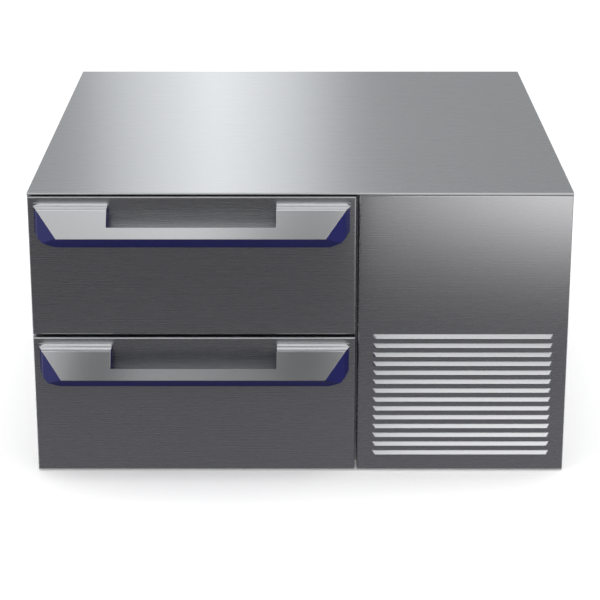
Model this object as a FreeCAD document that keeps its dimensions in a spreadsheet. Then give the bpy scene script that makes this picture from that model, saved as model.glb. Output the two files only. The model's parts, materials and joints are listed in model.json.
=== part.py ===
import FreeCAD, Part
import math
import os
import re
import Sketcher

from FreeCAD import Placement, Rotation, Vector

# Undercounter refrigerator with two drawers beside a louvred compressor bay.
# Millimetres, +X to the right, +Y to the back, +Z up. The origin is the middle of
# the base on the floor, and the drawers pull out towards -Y.

# Driving dimensions, each one a cell of the spreadsheet.
SIZES = {
    "width": 800,  # whole cabinet
    "depth": 825,  # front faces to back panel
    "height": 440,  # floor to worktop
    "sheet": 1,  # outer skins and liner
    "base_sheet": 1.5,
    "running_gap": 0.3,  # between pieces that slide or turn
    # worktop
    "top_edge": 3,  # hemmed edge
    "top_sheet": 1.5,
    "top_hem": 22,  # how far the edge is folded under
    "top_bend": 2.6,
    # fronts
    "front_depth": 36,
    "front_bend": 3,
    "front_foot": 2,  # lower edge of the fronts above the floor
    "front_top_gap": 2,  # between upper front and worktop
    "drawer_gap": 4,
    "panel_width": 314,  # louvred panel, the drawers take the rest
    "panel_gap": 3.5,
    "seal_depth": 6,
    "seal_width": 9,
    "seal_inset": 3,
    # front frame round the compressor bay
    "frame_side_band": 14,
    "frame_top_band": 20,
    # cold compartment
    "wall": 48,  # insulated sides
    "base_wall": 42,
    "top_wall": 38,
    "bay_back_wall": 50,
    "mullion_height": 30,
    "mullion_depth": 36,
    "cove": 10,  # rounded liner corners
    # pressed drawer frame, open for one container of 325 by 530
    "frame_sheet": 1.5,
    "frame_height": 50,
    "frame_side_flange": 26.6,
    "frame_front_flange": 22,
    "frame_back_flange": 27,
    "frame_back_gap": 43,  # to the evaporator cover
    "rim_clearance": 5.5,
    # runners
    "runner_height": 45,
    "runner_width": 13,
    "runner_sheet": 1.5,
    "runner_drop": 1,  # below the frame's rim
    "runner_front_gap": 8,
    "runner_back_gap": 28.5,
    # handle
    "handle_drop": 10,  # front's top edge to the handle's upstand
    "handle_side": 8.75,  # front's end to the handle
    "handle_sheet": 1.5,
    "handle_fold": 1.5,  # inner radius of its folds
    "upstand": 4.4,
    "ledge_depth": 20,
    "ledge_taper": 6.5,
    "grip_reach": 48,
    "grip_drop": 36.6,
    "grip_taper": 37.3,
    "cutout_width": 247,
    "cutout_reach": 37,
    "cutout_round": 2,
    "mould_wall": 2.5,
    "mould_drop": 63.6,
    "mould_side_drop": 38,
    "mould_foot_taper": 31.5,
    "mould_foot": 6,  # flat strip under it
    "mould_foot_rise": 2,
    "mould_inset": 1,
    "mould_lip": 2,  # plate's edge stands this far past it
    "mould_lip_width": 4,
    "mould_lip_rise": 1.2,
    # louvred panel
    "louvre_count": 14,
    "louvre_pitch": 14.4,
    "louvre_start": 218.8,  # first root line above the panel's lower edge
    "louvre_height": 6,
    "louvre_reach": 4,
    "louvre_margin": 23.5,
    "louvre_taper": 4,
    # bushes for levelling feet
    "bush_inset_x": 26,
    "bush_inset_y": 61.5,
    "bush_radius": 9,
    "bush_bore": 5.1,
    "bush_length": 25.5,
    "bush_clearance": 1,
    # condensing unit
    "unit_gap": 7,  # tray to the bay's sides
    "unit_front_gap": 12,
    "unit_back_gap": 75,
    "unit_edge": 15,
    "unit_sheet": 2,
    "condenser_width": 236,
    "condenser_height": 196,
    "condenser_depth": 60,
    "condenser_gap": 30,
    "fin_count": 12,
    "fin_sheet": 0.6,
    "coil_tube_count": 3,
    "coil_tube_height": 5,
    "coil_tube_inset": 12,  # from the fins' edges
    "shroud_depth": 22,
    "condenser_fan_radius": 88,
    "condenser_hub_radius": 26,
    "condenser_strap": 105,
    "fan_blade_count": 5,
    "fan_blade_depth": 20,
    "fan_blade_chord": 56,
    "fan_blade_sheet": 1.6,
    "fan_root": 1,  # how far a blade runs into the hub
    "fan_shaft_radius": 3,
    "fan_bore_gap": 0.05,
    "fan_tip_gap": 3,
    "fan_motor_radius": 30,
    "fan_motor_length": 42,
    "fan_motor_gap": 4,
    "strap_sheet": 2,
    "strap_width": 24,
    # compressor
    "compressor_radius": 78,
    "compressor_height": 168,
    "compressor_place": 355,  # its axis from the back
    "compressor_seam": 4,
    "compressor_dome": 24,
    "foot_spacing_x": 150,
    "foot_spacing_y": 110,
    "foot_width": 32,
    "foot_sheet": 3,
    "grommet_radius": 11,
    "grommet_height": 14,
    "terminal_reach": 108,
    "terminal_width": 56,
    "terminal_height": 60,
    "terminal_rise": 60,
    # pipes and drier
    "suction_radius": 4,
    "liquid_radius": 2.5,
    "pipe_sides": 6,
    "pipe_bend": 9,
    "stub_spacing": 30,  # between the two stubs in the compressor's lid
    "discharge_rise": 70,
    "suction_line": 70,  # from the partition
    "liquid_inset": 10,  # from the condenser's end
    "liquid_rise": 34,
    "drier_radius": 9.5,
    "drier_length": 105,
    "drier_place": 60,  # behind the condenser
    # control box and condensate tray
    "control_width": 200,
    "control_depth": 110,
    "control_height": 110,
    "control_gap": 20,
    "pan_length": 120,
    "pan_height": 40,
    "pan_wall": 2,
    "pan_side_gap": 20,
    "pan_back_gap": 10,
    # evaporator
    "evaporator_bay": 135,  # cover to the liner's back
    "evaporator_cover_gap": 12,
    "evaporator_top_gap": 67,
    "evaporator_rise": 60,
    "evaporator_depth": 56,
    "evaporator_side_gap": 30,
    "evaporator_back_gap": 4,
    "evaporator_fan_radius": 62,
    "evaporator_hub_radius": 20,
    "evaporator_strap": 75,
    "tray_height": 18,
    "tray_rise": 30,
    "tray_depth": 72,
    # vents, cord gland and refrigerant port
    "back_slot_count": 12,
    "back_slot_pitch": 16,
    "back_slot_height": 6,
    "back_slot_margin": 47,
    "back_slot_rise": 150,
    "gland_inset": 47,
    "gland_rise": 60,
    "gland_radius": 8,
    "gland_length": 20,
    "gland_head": 8,
    "gland_head_radius": 12,
    "cord_radius": 4.5,
    "port_size": 28,
    "port_wall": 1.5,
    "port_lip": 3,
    "port_inset": 40,
    "port_drop": 90,
}

# Places worked out from the sizes above, written as formulas.
PLACES = {
    "left": "-width / 2",
    "right": "width / 2",
    "front": "-depth / 2",
    "back": "depth / 2",
    "under_top": "height - top_edge",
    "front_height": "(under_top - front_top_gap - front_foot - drawer_gap) / 2",
    "lower_foot": "front_foot",
    "upper_foot": "front_foot + front_height + drawer_gap",
    "panel_left": "right - panel_width",
    "panel_mid": "(panel_left + right) / 2",
    "drawer_right": "panel_left - panel_gap",
    "drawer_mid": "(left + drawer_right) / 2",
    "front_back": "front + front_depth",
    "face": "front_back + seal_depth",
    "face_back": "face + top_sheet",
    "tech_left": "drawer_right + panel_gap / 2",
    "bay_left": "left + wall",
    "bay_right": "tech_left - wall",
    "bay_mid": "(bay_left + bay_right) / 2",
    "bay_floor": "base_wall",
    "bay_top": "under_top - top_wall",
    "bay_back": "back - bay_back_wall",
    "mullion_mid": "upper_foot - drawer_gap / 2",
    "mullion_low": "mullion_mid - mullion_height / 2",
    "mullion_high": "mullion_mid + mullion_height / 2",
    "lower_rim": "mullion_low - rim_clearance",
    "upper_rim": "bay_top - cove",
    "runner_start": "face_back + runner_front_gap",
    "runner_end": "evaporator_face - runner_back_gap",
    "frame_end": "evaporator_face - frame_back_gap",
    "handle_half": "(drawer_right - left) / 2 - handle_side",
    "grip_slope": "grip_drop / (grip_reach - ledge_depth)",
    "grip_fall": "handle_sheet * sqrt(1 + grip_slope * grip_slope)",
    "grip_sine": "grip_slope / sqrt(1 + grip_slope * grip_slope)",
    "grip_cosine": "1 / sqrt(1 + grip_slope * grip_slope)",
    "fold_reach": "ledge_depth - (grip_fall - handle_sheet) / grip_slope",
    "mould_reach": "grip_reach - mould_lip",
    "mould_edge_drop": "(mould_reach - ledge_depth) * grip_slope + grip_fall",
    "pocket_reach": "mould_reach - mould_lip_width",
    "pocket_edge_drop": "mould_edge_drop - mould_lip_rise",
    "cutout_drop": "(cutout_reach - ledge_depth) * grip_slope",
    "unit_floor": "base_sheet",
    "tray_floor": "unit_floor + unit_sheet",
    "unit_back": "back - sheet - unit_back_gap",
    "condenser_face": "face_back + condenser_gap",
    "condenser_back": "condenser_face + condenser_depth",
    "condenser_low": "tray_floor",
    "condenser_top": "condenser_low + condenser_height",
    "condenser_mid": "condenser_low + condenser_height / 2",
    "shroud_back": "condenser_back + shroud_depth",
    "compressor_y": "back - compressor_place",
    "compressor_foot": "tray_floor + grommet_height + foot_sheet",
    "compressor_lid": "compressor_foot + compressor_height",
    "evaporator_face": "bay_back - evaporator_bay",
    "evaporator_mid": "(bay_floor + bay_top) / 2",
    "evaporator_foot": "bay_floor + evaporator_rise",
    "evaporator_back": "bay_back - evaporator_back_gap",
    "tray_foot": "bay_floor + tray_rise",
    "back_slot_start": "unit_floor + back_slot_rise",
    "gland_x": "right - gland_inset",
    "gland_z": "unit_floor + gland_rise",
    "port_y": "bay_back - port_inset",
    "port_z": "bay_top - port_drop",
}

doc = FreeCAD.newDocument("DrawerRefrigerator")
sizes = doc.addObject("Spreadsheet::Sheet", "Sizes")
for row, (word, value) in enumerate(SIZES.items(), start=1):
    sizes.set(f"A{row}", word)
    sizes.set(f"B{row}", str(value))
    sizes.setAlias(f"B{row}", word)
doc.recompute()

nodes = []


def formula(text):
    """Writes a formula of sizes and places as an expression of spreadsheet cells."""

    def cell(match):
        word = match[0]
        if word in PLACES:
            return f"({formula(PLACES[word])})"
        return f"Sizes.{word}" if word in SIZES else word

    return re.sub(r"[a-z_]+[a-z0-9_]*", cell, text)


def bind(item, prop, text):
    item.setExpression(prop, formula(text))


def value_of(text):
    return float(sizes.evalExpression(formula(text)))


def count_of(text):
    return int(value_of(text))


def keep(item, label):
    """Names a finished sub-part, which is later written under that name."""
    item.Label = label
    nodes.append(item)


def place(item, x, y, z):
    for axis, text in zip("xyz", (x, y, z)):
        bind(item, f"Placement.Base.{axis}", text)


def box(x, y, z):
    """A block between pairs of formulas along x, y and z."""
    block = doc.addObject("Part::Box", "Block")
    place(block, x[0], y[0], z[0])
    for side, (low, high) in zip(("Length", "Width", "Height"), (x, y, z)):
        bind(block, side, f"({high}) - ({low})")
    return block


TURNS = {
    "x": Rotation(Vector(0, 1, 0), 90),
    "y": Rotation(Vector(1, 0, 0), -90),
    "z": Rotation(),
}


def rod(radius, length, start, axis):
    """A cylinder that grows from its start along the named axis."""
    cylinder = doc.addObject("Part::Cylinder", "Rod")
    cylinder.Placement = Placement(Vector(), TURNS[axis])
    place(cylinder, *start)
    bind(cylinder, "Radius", radius)
    bind(cylinder, "Height", length)
    return cylinder


def hexagon(radius, length, start, axis):
    """A six-sided bar that grows from its start along the named axis."""
    bar = doc.addObject("Part::Prism", "Hexagon")
    bar.Polygon = 6
    bar.Placement = Placement(Vector(), TURNS[axis])
    place(bar, *start)
    bind(bar, "Circumradius", radius)
    bind(bar, "Height", length)
    return bar


def join(parts):
    joined = doc.addObject("Part::MultiFuse", "Join")
    joined.Shapes = parts
    joined.Refine = True
    return joined


def cut(base, tools):
    result = doc.addObject("Part::Cut", "Cut")
    result.Base = base
    result.Tool = tools[0] if len(tools) == 1 else join(tools)
    result.Refine = True
    return result


def group(parts):
    """Separate solids that share one node."""
    gathered = doc.addObject("Part::Compound", "Group")
    gathered.Links = parts
    return gathered


def sketch_on(body, role):
    sketch = body.newObject("Sketcher::SketchObject", "Outline")
    plane = next(item for item in body.Origin.OriginFeatures if item.Role == role)
    sketch.AttachmentSupport = (plane, [""])
    sketch.MapMode = "FlatFace"
    return sketch


def draw(sketch, points):
    """Draws a closed outline whose corners follow their formulas."""
    corners = [Vector(value_of(u), value_of(v), 0) for u, v in points]
    for start, end in zip(corners, corners[1:] + corners[:1]):
        sketch.addGeometry(Part.LineSegment(start, end), False)
    for index, (texts, corner) in enumerate(zip(points, corners)):
        following = (index + 1) % len(corners)
        sketch.addConstraint(Sketcher.Constraint("Coincident", index, 2, following, 1))
        for kind, text, value in zip(("DistanceX", "DistanceY"), texts, corner):
            number = sketch.addConstraint(Sketcher.Constraint(kind, -1, 1, index, 1, value))
            bind(sketch, f"Constraints[{number}]", text)


PLANES = {"x": ("YZ_Plane", 1), "y": ("XZ_Plane", -1), "z": ("XY_Plane", 1)}


def extrude(body, kind, axis, points, span):
    """Pads or pockets an outline between two places along an axis."""
    role, sign = PLANES[axis]
    sketch = sketch_on(body, role)
    from_low = (sign > 0) == (kind == "Pad")  # a pocket cuts against its plane's normal
    start = span[0] if from_low else span[1]
    bind(sketch, "AttachmentOffset.Base.z", f"{sign} * ({start})")
    draw(sketch, points)
    feature = body.newObject(f"PartDesign::{kind}", kind)
    feature.Profile = sketch
    bind(feature, "Length", f"({span[1]}) - ({span[0]})")
    doc.recompute()
    return feature


def turned(role, points):
    """A body turned round its sketch's upright axis."""
    body = doc.addObject("PartDesign::Body", "Turned")
    sketch = sketch_on(body, role)
    draw(sketch, points)
    feature = body.newObject("PartDesign::Revolution", "Revolution")
    feature.Profile = sketch
    feature.ReferenceAxis = (sketch, ["V_Axis"])
    feature.Angle = 360
    doc.recompute()
    return body


def rectangle(u, v):
    return [(u[0], v[0]), (u[1], v[0]), (u[1], v[1]), (u[0], v[1])]


def inset(span, margin):
    return (f"{span[0]} + {margin}", f"{span[1]} - {margin}")


def centred(middle, half):
    return (f"{middle} - {half}", f"{middle} + {half}")


def round_edges(body, radius, chosen):
    """Rounds the edges of a body that pass a test."""
    base = body.Tip
    edges = enumerate(base.Shape.Edges, start=1)
    names = [f"Edge{number}" for number, edge in edges if chosen(edge)]
    fillet = body.newObject("PartDesign::Fillet", "Round")
    fillet.Base = (base, names)
    bind(fillet, "Radius", radius)
    doc.recompute()


def runs_along(edge, axis):
    run = edge.Vertexes[-1].Point - edge.Vertexes[0].Point
    return run.Length > 1e-6 and abs(getattr(run, axis)) > 0.999 * run.Length


def lies_at(edge, axis, place_text):
    target = value_of(place_text)
    return all(abs(getattr(v.Point, axis) - target) < 1e-6 for v in edge.Vertexes)


def folded_block(x, y, z, bend):
    """A block whose front face has the four bends of a sheet folded round it."""
    body = doc.addObject("PartDesign::Body", "Folded")
    extrude(body, "Pad", "y", rectangle(x, z), y)
    round_edges(body, bend, lambda edge: lies_at(edge, "y", y[0]))
    return body


def coved_block(x, y, z, bend):
    """A block with its four long edges, front to back, rounded."""
    body = doc.addObject("PartDesign::Body", "Coved")
    extrude(body, "Pad", "y", rectangle(x, z), y)
    round_edges(body, bend, lambda edge: runs_along(edge, "y"))
    return body


def sheet_pan(x, y, z):
    """A front folded from one sheet, open to the back."""
    outer = folded_block(x, y, z, "front_bend")
    inner_y = (f"{y[0]} + sheet", y[1])
    inner = folded_block(inset(x, "sheet"), inner_y, inset(z, "sheet"), "front_bend - sheet")
    return cut(outer, [inner])


# ---------------------------------------------------------------- cabinet shell


def worktop():
    body = doc.addObject("PartDesign::Body", "Worktop")
    span_x = ("left", "right")
    span_y = ("front", "back")
    extrude(body, "Pad", "z", rectangle(span_x, span_y), ("under_top", "height"))
    round_edges(
        body,
        "top_bend",
        lambda edge: lies_at(edge, "y", "front") and lies_at(edge, "z", "height"),
    )
    inside = rectangle(inset(span_x, "top_hem"), inset(span_y, "top_hem"))
    extrude(body, "Pocket", "z", inside, ("under_top", "height - top_sheet"))
    keep(body, "worktop")


def cabinet_skins():
    upright = ("unit_floor", "under_top")
    behind = ("face_back", "back - sheet")
    keep(box(("left", "left + sheet"), behind, upright), "side_panel_left")
    keep(box(("right - sheet", "right"), behind, upright), "side_panel_right")
    partition = box(("tech_left - sheet", "tech_left"), behind, upright)
    keep(cut(partition, [port(("tech_left - sheet", "tech_left"), "port_size")]), "partition")


def port(x, size):
    """A square duct's room for the pipes, from the compressor bay to the evaporator."""
    return box(x, centred("port_y", f"({size}) / 2"), centred("port_z", f"({size}) / 2"))


BUSH_PLACES = [
    (x, y)
    for x in ("left + bush_inset_x", "right - bush_inset_x")
    for y in ("face + bush_inset_y", "back - bush_inset_y")
]


def bush_blanks(places, clearance):
    """Hexagonal bars as large as the bushes at the given places, plus a clearance."""
    radius = f"bush_radius + {clearance}"
    return [hexagon(radius, "bush_length", (x, y, "0"), "z") for x, y in places]


def base_and_bushes():
    plate = box(("left", "right"), ("face_back", "back"), ("0", "unit_floor"))
    openings = bush_blanks(BUSH_PLACES, "0")
    bushes = []
    for blank, (x, y) in zip(bush_blanks(BUSH_PLACES, "0"), BUSH_PLACES):
        bushes.append(cut(blank, [rod("bush_bore", "bush_length", (x, y, "0"), "z")]))
    keep(cut(plate, openings), "base_panel")
    keep(group(bushes), "foot_bushes")


def back_panel():
    y = ("back - sheet", "back")
    panel = box(("left", "right"), y, ("unit_floor", "under_top"))
    slot_x = inset(("panel_left", "right"), "back_slot_margin")
    openings = []
    for index in range(count_of("back_slot_count")):
        low = f"back_slot_start + {index} * back_slot_pitch"
        openings.append(box(slot_x, y, (low, f"{low} + back_slot_height")))
    openings.append(rod("gland_radius", "sheet", ("gland_x", y[0], "gland_z"), "y"))
    keep(cut(panel, openings), "back_panel")


def cord_gland():
    """A sleeve through the back panel with a hexagonal head outside."""
    start = ("gland_x", "back + gland_head - gland_length", "gland_z")
    sleeve = rod("gland_radius", "gland_length - gland_head", start, "y")
    head = hexagon("gland_head_radius", "gland_head", ("gland_x", "back", "gland_z"), "y")
    bore = rod("cord_radius", "gland_length", start, "y")
    keep(cut(join([sleeve, head]), [bore]), "cord_gland")


def front_frame():
    y = ("face", "face_back")
    plate = box(("left", "right"), y, ("0", "under_top"))
    bay_x = ("bay_left", "bay_right")
    compressor_x = inset(("panel_left", "right"), "frame_side_band")
    compressor_z = ("front_foot + frame_side_band", "under_top - frame_top_band")
    openings = [
        box(bay_x, y, ("bay_floor", "mullion_low")),
        box(bay_x, y, ("mullion_high", "bay_top")),
        box(compressor_x, y, compressor_z),
    ]
    keep(cut(plate, openings), "front_frame")


def mullion():
    """A channel across the bay between the drawers, open to the front frame."""
    x = ("bay_left", "bay_right")
    z = ("mullion_low", "mullion_high")
    bar = box(x, ("face_back", "face_back + mullion_depth"), z)
    inner_y = ("face_back", "face_back + mullion_depth - sheet")
    keep(cut(bar, [box(x, inner_y, inset(z, "sheet"))]), "mullion")


def liner():
    x = ("bay_left", "bay_right")
    z = ("bay_floor", "bay_top")
    outer_y = ("face_back", "bay_back + sheet")
    outer = coved_block(inset(x, "-sheet"), outer_y, inset(z, "-sheet"), "cove + sheet")
    inner = coved_block(x, ("face_back", "bay_back"), z, "cove")
    hole = port(("bay_right", "bay_right + sheet"), "port_size")
    keep(cut(outer, [inner, hole]), "liner")


def insulation():
    """Foam that fills the walls round the liner, and the sleeve of the refrigerant port."""
    x = ("left + sheet", "tech_left - sheet")
    block = box(x, ("face_back", "back - sheet"), ("unit_floor", "under_top"))
    liner_x = inset(("bay_left", "bay_right"), "-sheet")
    liner_z = inset(("bay_floor", "bay_top"), "-sheet")
    space = coved_block(liner_x, ("face_back", "bay_back + sheet"), liner_z, "cove + sheet")
    duct = port(("bay_right", "tech_left"), "port_size")
    wells = bush_blanks(BUSH_PLACES[:2], "0")
    keep(cut(block, [space, duct] + wells), "insulation")
    sleeve_x = inset(("bay_right", "tech_left"), "-port_lip")
    sleeve = port(sleeve_x, "port_size")
    keep(cut(sleeve, [port(sleeve_x, "port_size - 2 * port_wall")]), "line_sleeve")


def compressor_panel():
    """One folded sheet with a row of louvres pressed out of it."""
    x = ("panel_left", "right")
    body = sheet_pan(x, ("front", "face"), ("front_foot", "under_top"))
    hoods = []
    vents = []
    for index in range(count_of("louvre_count")):
        top = f"front_foot + louvre_start - {index} * louvre_pitch"
        hoods.append(louvre(top, "0"))
        vents.append(louvre(top, "sheet"))
    keep(cut(join([body] + hoods), vents), "compressor_panel")


def louvre(top, wall):
    """A pressed hood, or the air space under it inside a wall, that opens downwards."""
    is_hood = wall == "0"
    root = "0.5 * sheet" if is_hood else "2 * sheet"
    foot = "0" if is_hood else "-0.2 * sheet"
    half = "(panel_width / 2 - louvre_margin)"
    wedge = doc.addObject("Part::Wedge", "Hood" if is_hood else "Vent")
    # turned so that the wedge's own y runs out of the panel
    wedge.Placement = Placement(Vector(), Rotation(Vector(0, 0, 1), 180))
    place(wedge, "panel_mid", f"front + {root}", f"{top} - louvre_height")
    numbers = {
        "Xmin": f"{wall} - {half}",
        "Xmax": f"{half} - {wall}",
        "X2min": f"louvre_taper + {wall} - {half}",
        "X2max": f"{half} - louvre_taper - {wall}",
        "Ymin": "0",
        "Ymax": f"louvre_reach + {root} - {wall}",
        "Zmin": foot,
        "Zmax": f"louvre_height - {wall}",
        "Z2min": foot,
        "Z2max": "sheet" if is_hood else "0.1 * sheet",
    }
    for prop, text in numbers.items():
        bind(wedge, prop, text)
    return wedge


# ---------------------------------------------------------------- drawers


def runner_channel(side, web, level, centre):
    """One folded channel of a runner, open towards the middle of the bay.

    The channels nest: each level lies one step further in than the one before.
    """
    wall_x = "bay_left" if side < 0 else "bay_right"

    def across(near, far):
        places = [f"{wall_x} - {side} * ({near})", f"{wall_x} - {side} * ({far})"]
        return places if side < 0 else places[::-1]

    step = f"{level} * (runner_sheet + running_gap)"
    half = f"(runner_height / 2 - {step})"
    y = ("runner_start", "runner_end")
    outer = box(across(step, web[1]), y, centred(centre, half))
    inner = box(across(web[0], web[2]), y, centred(centre, f"({half} - runner_sheet)"))
    return cut(outer, [inner])


def runner_pair(centre, level):
    """The left and right channels of one level: 0 cabinet, 1 middle, 2 drawer."""
    step = f"{level} * (runner_sheet + running_gap)"
    far = "runner_width" if level == 2 else "runner_width - sheet"
    if level == 2:
        web = (step, far, f"{far} - runner_sheet")
    else:
        web = (f"{step} + runner_sheet", far, far)
    return [runner_channel(side, web, level, centre) for side in (-1, 1)]


def drawer(level, foot, rim):
    """All the pieces that pull out with one drawer front."""
    x = ("left", "drawer_right")
    z = (foot, f"{foot} + front_height")
    within_x = inset(x, "sheet")
    within_z = inset(z, "sheet")
    keep(sheet_pan(x, ("front", "front_back"), z), f"{level}_front_skin")
    keep(box(within_x, ("front_back - sheet", "front_back"), within_z), f"{level}_front_liner")
    core_y = ("front + sheet", "front_back - sheet")
    core = folded_block(within_x, core_y, within_z, "front_bend - sheet")
    keep(core, f"{level}_front_insulation")
    seal(level, x, z)
    frame(level, rim)
    keep(group(runner_pair(runner_centre(rim), 2)), f"{level}_drawer_runners")
    handle(level, f"{z[1]} - handle_drop - upstand")


def runner_centre(rim):
    return f"({rim} - runner_height / 2 - runner_drop)"


def seal(level, front_x, front_z):
    y = ("front_back", "face - running_gap")
    x = inset(front_x, "seal_inset")
    z = inset(front_z, "seal_inset")
    ring = cut(box(x, y, z), [box(inset(x, "seal_width"), y, inset(z, "seal_width"))])
    keep(ring, f"{level}_seal")


def frame(level, rim):
    """A pressed ring: walls all round and a flange that carries a container's rim."""
    x = inset(("bay_left", "bay_right"), "runner_width")
    y = ("front_back", "frame_end")
    z = (f"{rim} - frame_height", rim)
    under_z = (z[0], f"{rim} - frame_sheet")
    under = box(inset(x, "frame_sheet"), inset(y, "frame_sheet"), under_z)
    window_y = (f"{y[0]} + frame_front_flange", f"{y[1]} - frame_back_flange")
    window = box(inset(x, "frame_side_flange"), window_y, z)
    keep(cut(box(x, y, z), [under, window]), f"{level}_drawer_frame")


def handle(level, ledge):
    """The folded plate and the moulded body behind it.

    Reaches are measured out of the front's face, drops down from the ledge.
    """

    def out(reach):
        return f"front - ({reach})"

    def at(drop):
        return f"{ledge} - ({drop})"

    span = centred("drawer_mid", "handle_half")
    cutout_x = centred("drawer_mid", "cutout_width / 2")
    fold = (out("fold_reach"), at("handle_sheet"))

    plate = doc.addObject("PartDesign::Body", "HandlePlate")
    section = [
        (out("0"), at("-upstand")),
        (out("handle_sheet"), at("-upstand")),
        (out("handle_sheet"), at("0")),
        (out("ledge_depth"), at("0")),
        (out("grip_reach"), at("grip_drop")),
        (
            out("grip_reach - handle_sheet * grip_sine"),
            at("grip_drop + handle_sheet * grip_cosine"),
        ),
        fold,
        (out("0"), at("handle_sheet")),
    ]
    extrude(plate, "Pad", "x", section, span)
    round_fold(plate, (out("ledge_depth"), at("0")), "handle_fold + handle_sheet")
    round_fold(plate, fold, "handle_fold")
    slant_ends(plate, ledge, "0")
    cutout_z = (at("cutout_drop"), at("-2 * upstand"))
    extrude(plate, "Pocket", "y", rectangle(cutout_x, cutout_z), (out("2 * grip_reach"), "front"))
    round_edges(
        plate,
        "cutout_round",
        lambda edge: runs_along(edge, "y") and lies_at(edge, "z", cutout_z[0]),
    )
    keep(plate, f"{level}_handle_plate")

    mould = doc.addObject("PartDesign::Body", "HandleMoulding")
    section = [
        (out("0"), at("handle_sheet")),
        fold,
        (out("mould_reach"), at("mould_edge_drop")),
        (out("mould_foot"), at("mould_drop - mould_foot_rise")),
        (out("0"), at("mould_drop")),
    ]
    extrude(mould, "Pad", "x", section, span)
    round_fold(mould, fold, "handle_fold")
    slant_ends(mould, ledge, "mould_inset")
    chamfer_ends(mould, ledge)
    above = at("-upstand")
    pocket = [
        (out("0"), above),
        (out("2 * grip_reach"), above),
        (out("2 * grip_reach"), at("pocket_edge_drop")),
        (out("pocket_reach"), at("pocket_edge_drop")),
        (out("mould_foot"), at("mould_drop - mould_foot_rise - mould_wall")),
        (out("0"), at("mould_drop - mould_wall")),
    ]
    extrude(mould, "Pocket", "x", pocket, cutout_x)
    keep(mould, f"{level}_handle_moulding")


def round_fold(body, corner, radius):
    """Rounds the long edge of a handle piece that passes through a corner of its section."""
    round_edges(
        body,
        radius,
        lambda edge: runs_along(edge, "x")
        and lies_at(edge, "y", corner[0])
        and lies_at(edge, "z", corner[1]),
    )


def handle_end(side, taper, margin):
    return f"drawer_mid + {side} * (handle_half - {taper} - {margin})"


def slant_ends(body, ledge, margin):
    """Cuts a handle piece's ends to their slant in plan."""
    span_z = (f"{ledge} - 2 * mould_drop", f"{ledge} + 2 * upstand")
    for side in (-1, 1):
        beyond = handle_end(side, "-handle_side", margin)
        plan = [
            (handle_end(side, "0", margin), "front"),
            (handle_end(side, "ledge_taper", margin), "front - ledge_depth"),
            (handle_end(side, "grip_taper", margin), "front - grip_reach"),
            (handle_end(side, "grip_taper", margin), "front - 2 * grip_reach"),
            (beyond, "front - 2 * grip_reach"),
            (beyond, "front"),
        ]
        extrude(body, "Pocket", "z", plan, span_z)


def chamfer_ends(body, ledge):
    """Cuts the moulding's lower corners in front view."""
    side_low = f"{ledge} - mould_side_drop"
    beneath = f"{ledge} - 2 * mould_drop"
    for side in (-1, 1):
        beyond = handle_end(side, "-handle_side", "mould_inset")
        foot = handle_end(side, "mould_foot_taper", "mould_inset")
        front_view = [
            (handle_end(side, "0", "mould_inset"), side_low),
            (beyond, side_low),
            (beyond, beneath),
            (foot, beneath),
            (foot, f"{ledge} - mould_drop"),
        ]
        extrude(body, "Pocket", "y", front_view, ("front - 2 * grip_reach", "front"))


# ---------------------------------------------------------------- cooling pieces


def fan_wheel(hub, tip, centre):
    """Flat pitched blades in a ring round a bored hub, turning about y."""
    half_depth = "fan_blade_depth / 2"
    profile = rectangle(("fan_shaft_radius + fan_bore_gap", hub), (f"-{half_depth}", half_depth))
    body = turned("XY_Plane", profile)
    section = [
        ("-fan_blade_chord / 2", f"-{half_depth}"),
        ("fan_blade_chord / 2", f"{half_depth} - fan_blade_sheet"),
        ("fan_blade_chord / 2", half_depth),
        ("-fan_blade_chord / 2", f"fan_blade_sheet - {half_depth}"),
    ]
    blade = extrude(body, "Pad", "z", section, (f"{hub} - fan_root", tip))
    ring = body.newObject("PartDesign::PolarPattern", "Blades")
    ring.Originals = [blade]
    ring.Axis = (next(item for item in body.Origin.OriginFeatures if item.Role == "Y_Axis"), [""])
    ring.Angle = 360
    bind(ring, "Occurrences", "fan_blade_count")
    body.Tip = ring
    doc.recompute()
    place(body, *centre)
    wheel = doc.addObject("Part::Common", "Wheel")
    wheel.Base = body
    start = (centre[0], f"{centre[1]} - {half_depth}", centre[2])
    wheel.Tool = rod(tip, "fan_blade_depth", start, "y")
    return wheel


def fan_motor(centre, plate_back, half_span):
    """A motor on a strap whose legs reach forward to the plate that carries it."""
    x, wheel_y, z = centre
    blade_back = f"{wheel_y} + fan_blade_depth / 2"
    start = f"{blade_back} + fan_motor_gap"
    case = rod("fan_motor_radius", "fan_motor_length", (x, start, z), "y")
    shaft_start = f"{wheel_y} - fan_blade_depth / 2"
    shaft = rod("fan_shaft_radius", "fan_blade_depth + fan_motor_gap", (x, shaft_start, z), "y")
    strap_x = centred(x, half_span)
    strap_y = (f"{start} + fan_motor_length", f"{start} + fan_motor_length + strap_sheet")
    strap_z = centred(z, "strap_width / 2")
    legs = [
        box((strap_x[0], f"{strap_x[0]} + strap_sheet"), (plate_back, strap_y[1]), strap_z),
        box((f"{strap_x[1]} - strap_sheet", strap_x[1]), (plate_back, strap_y[1]), strap_z),
    ]
    return join([case, shaft, box(strap_x, strap_y, strap_z)] + legs)


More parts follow.
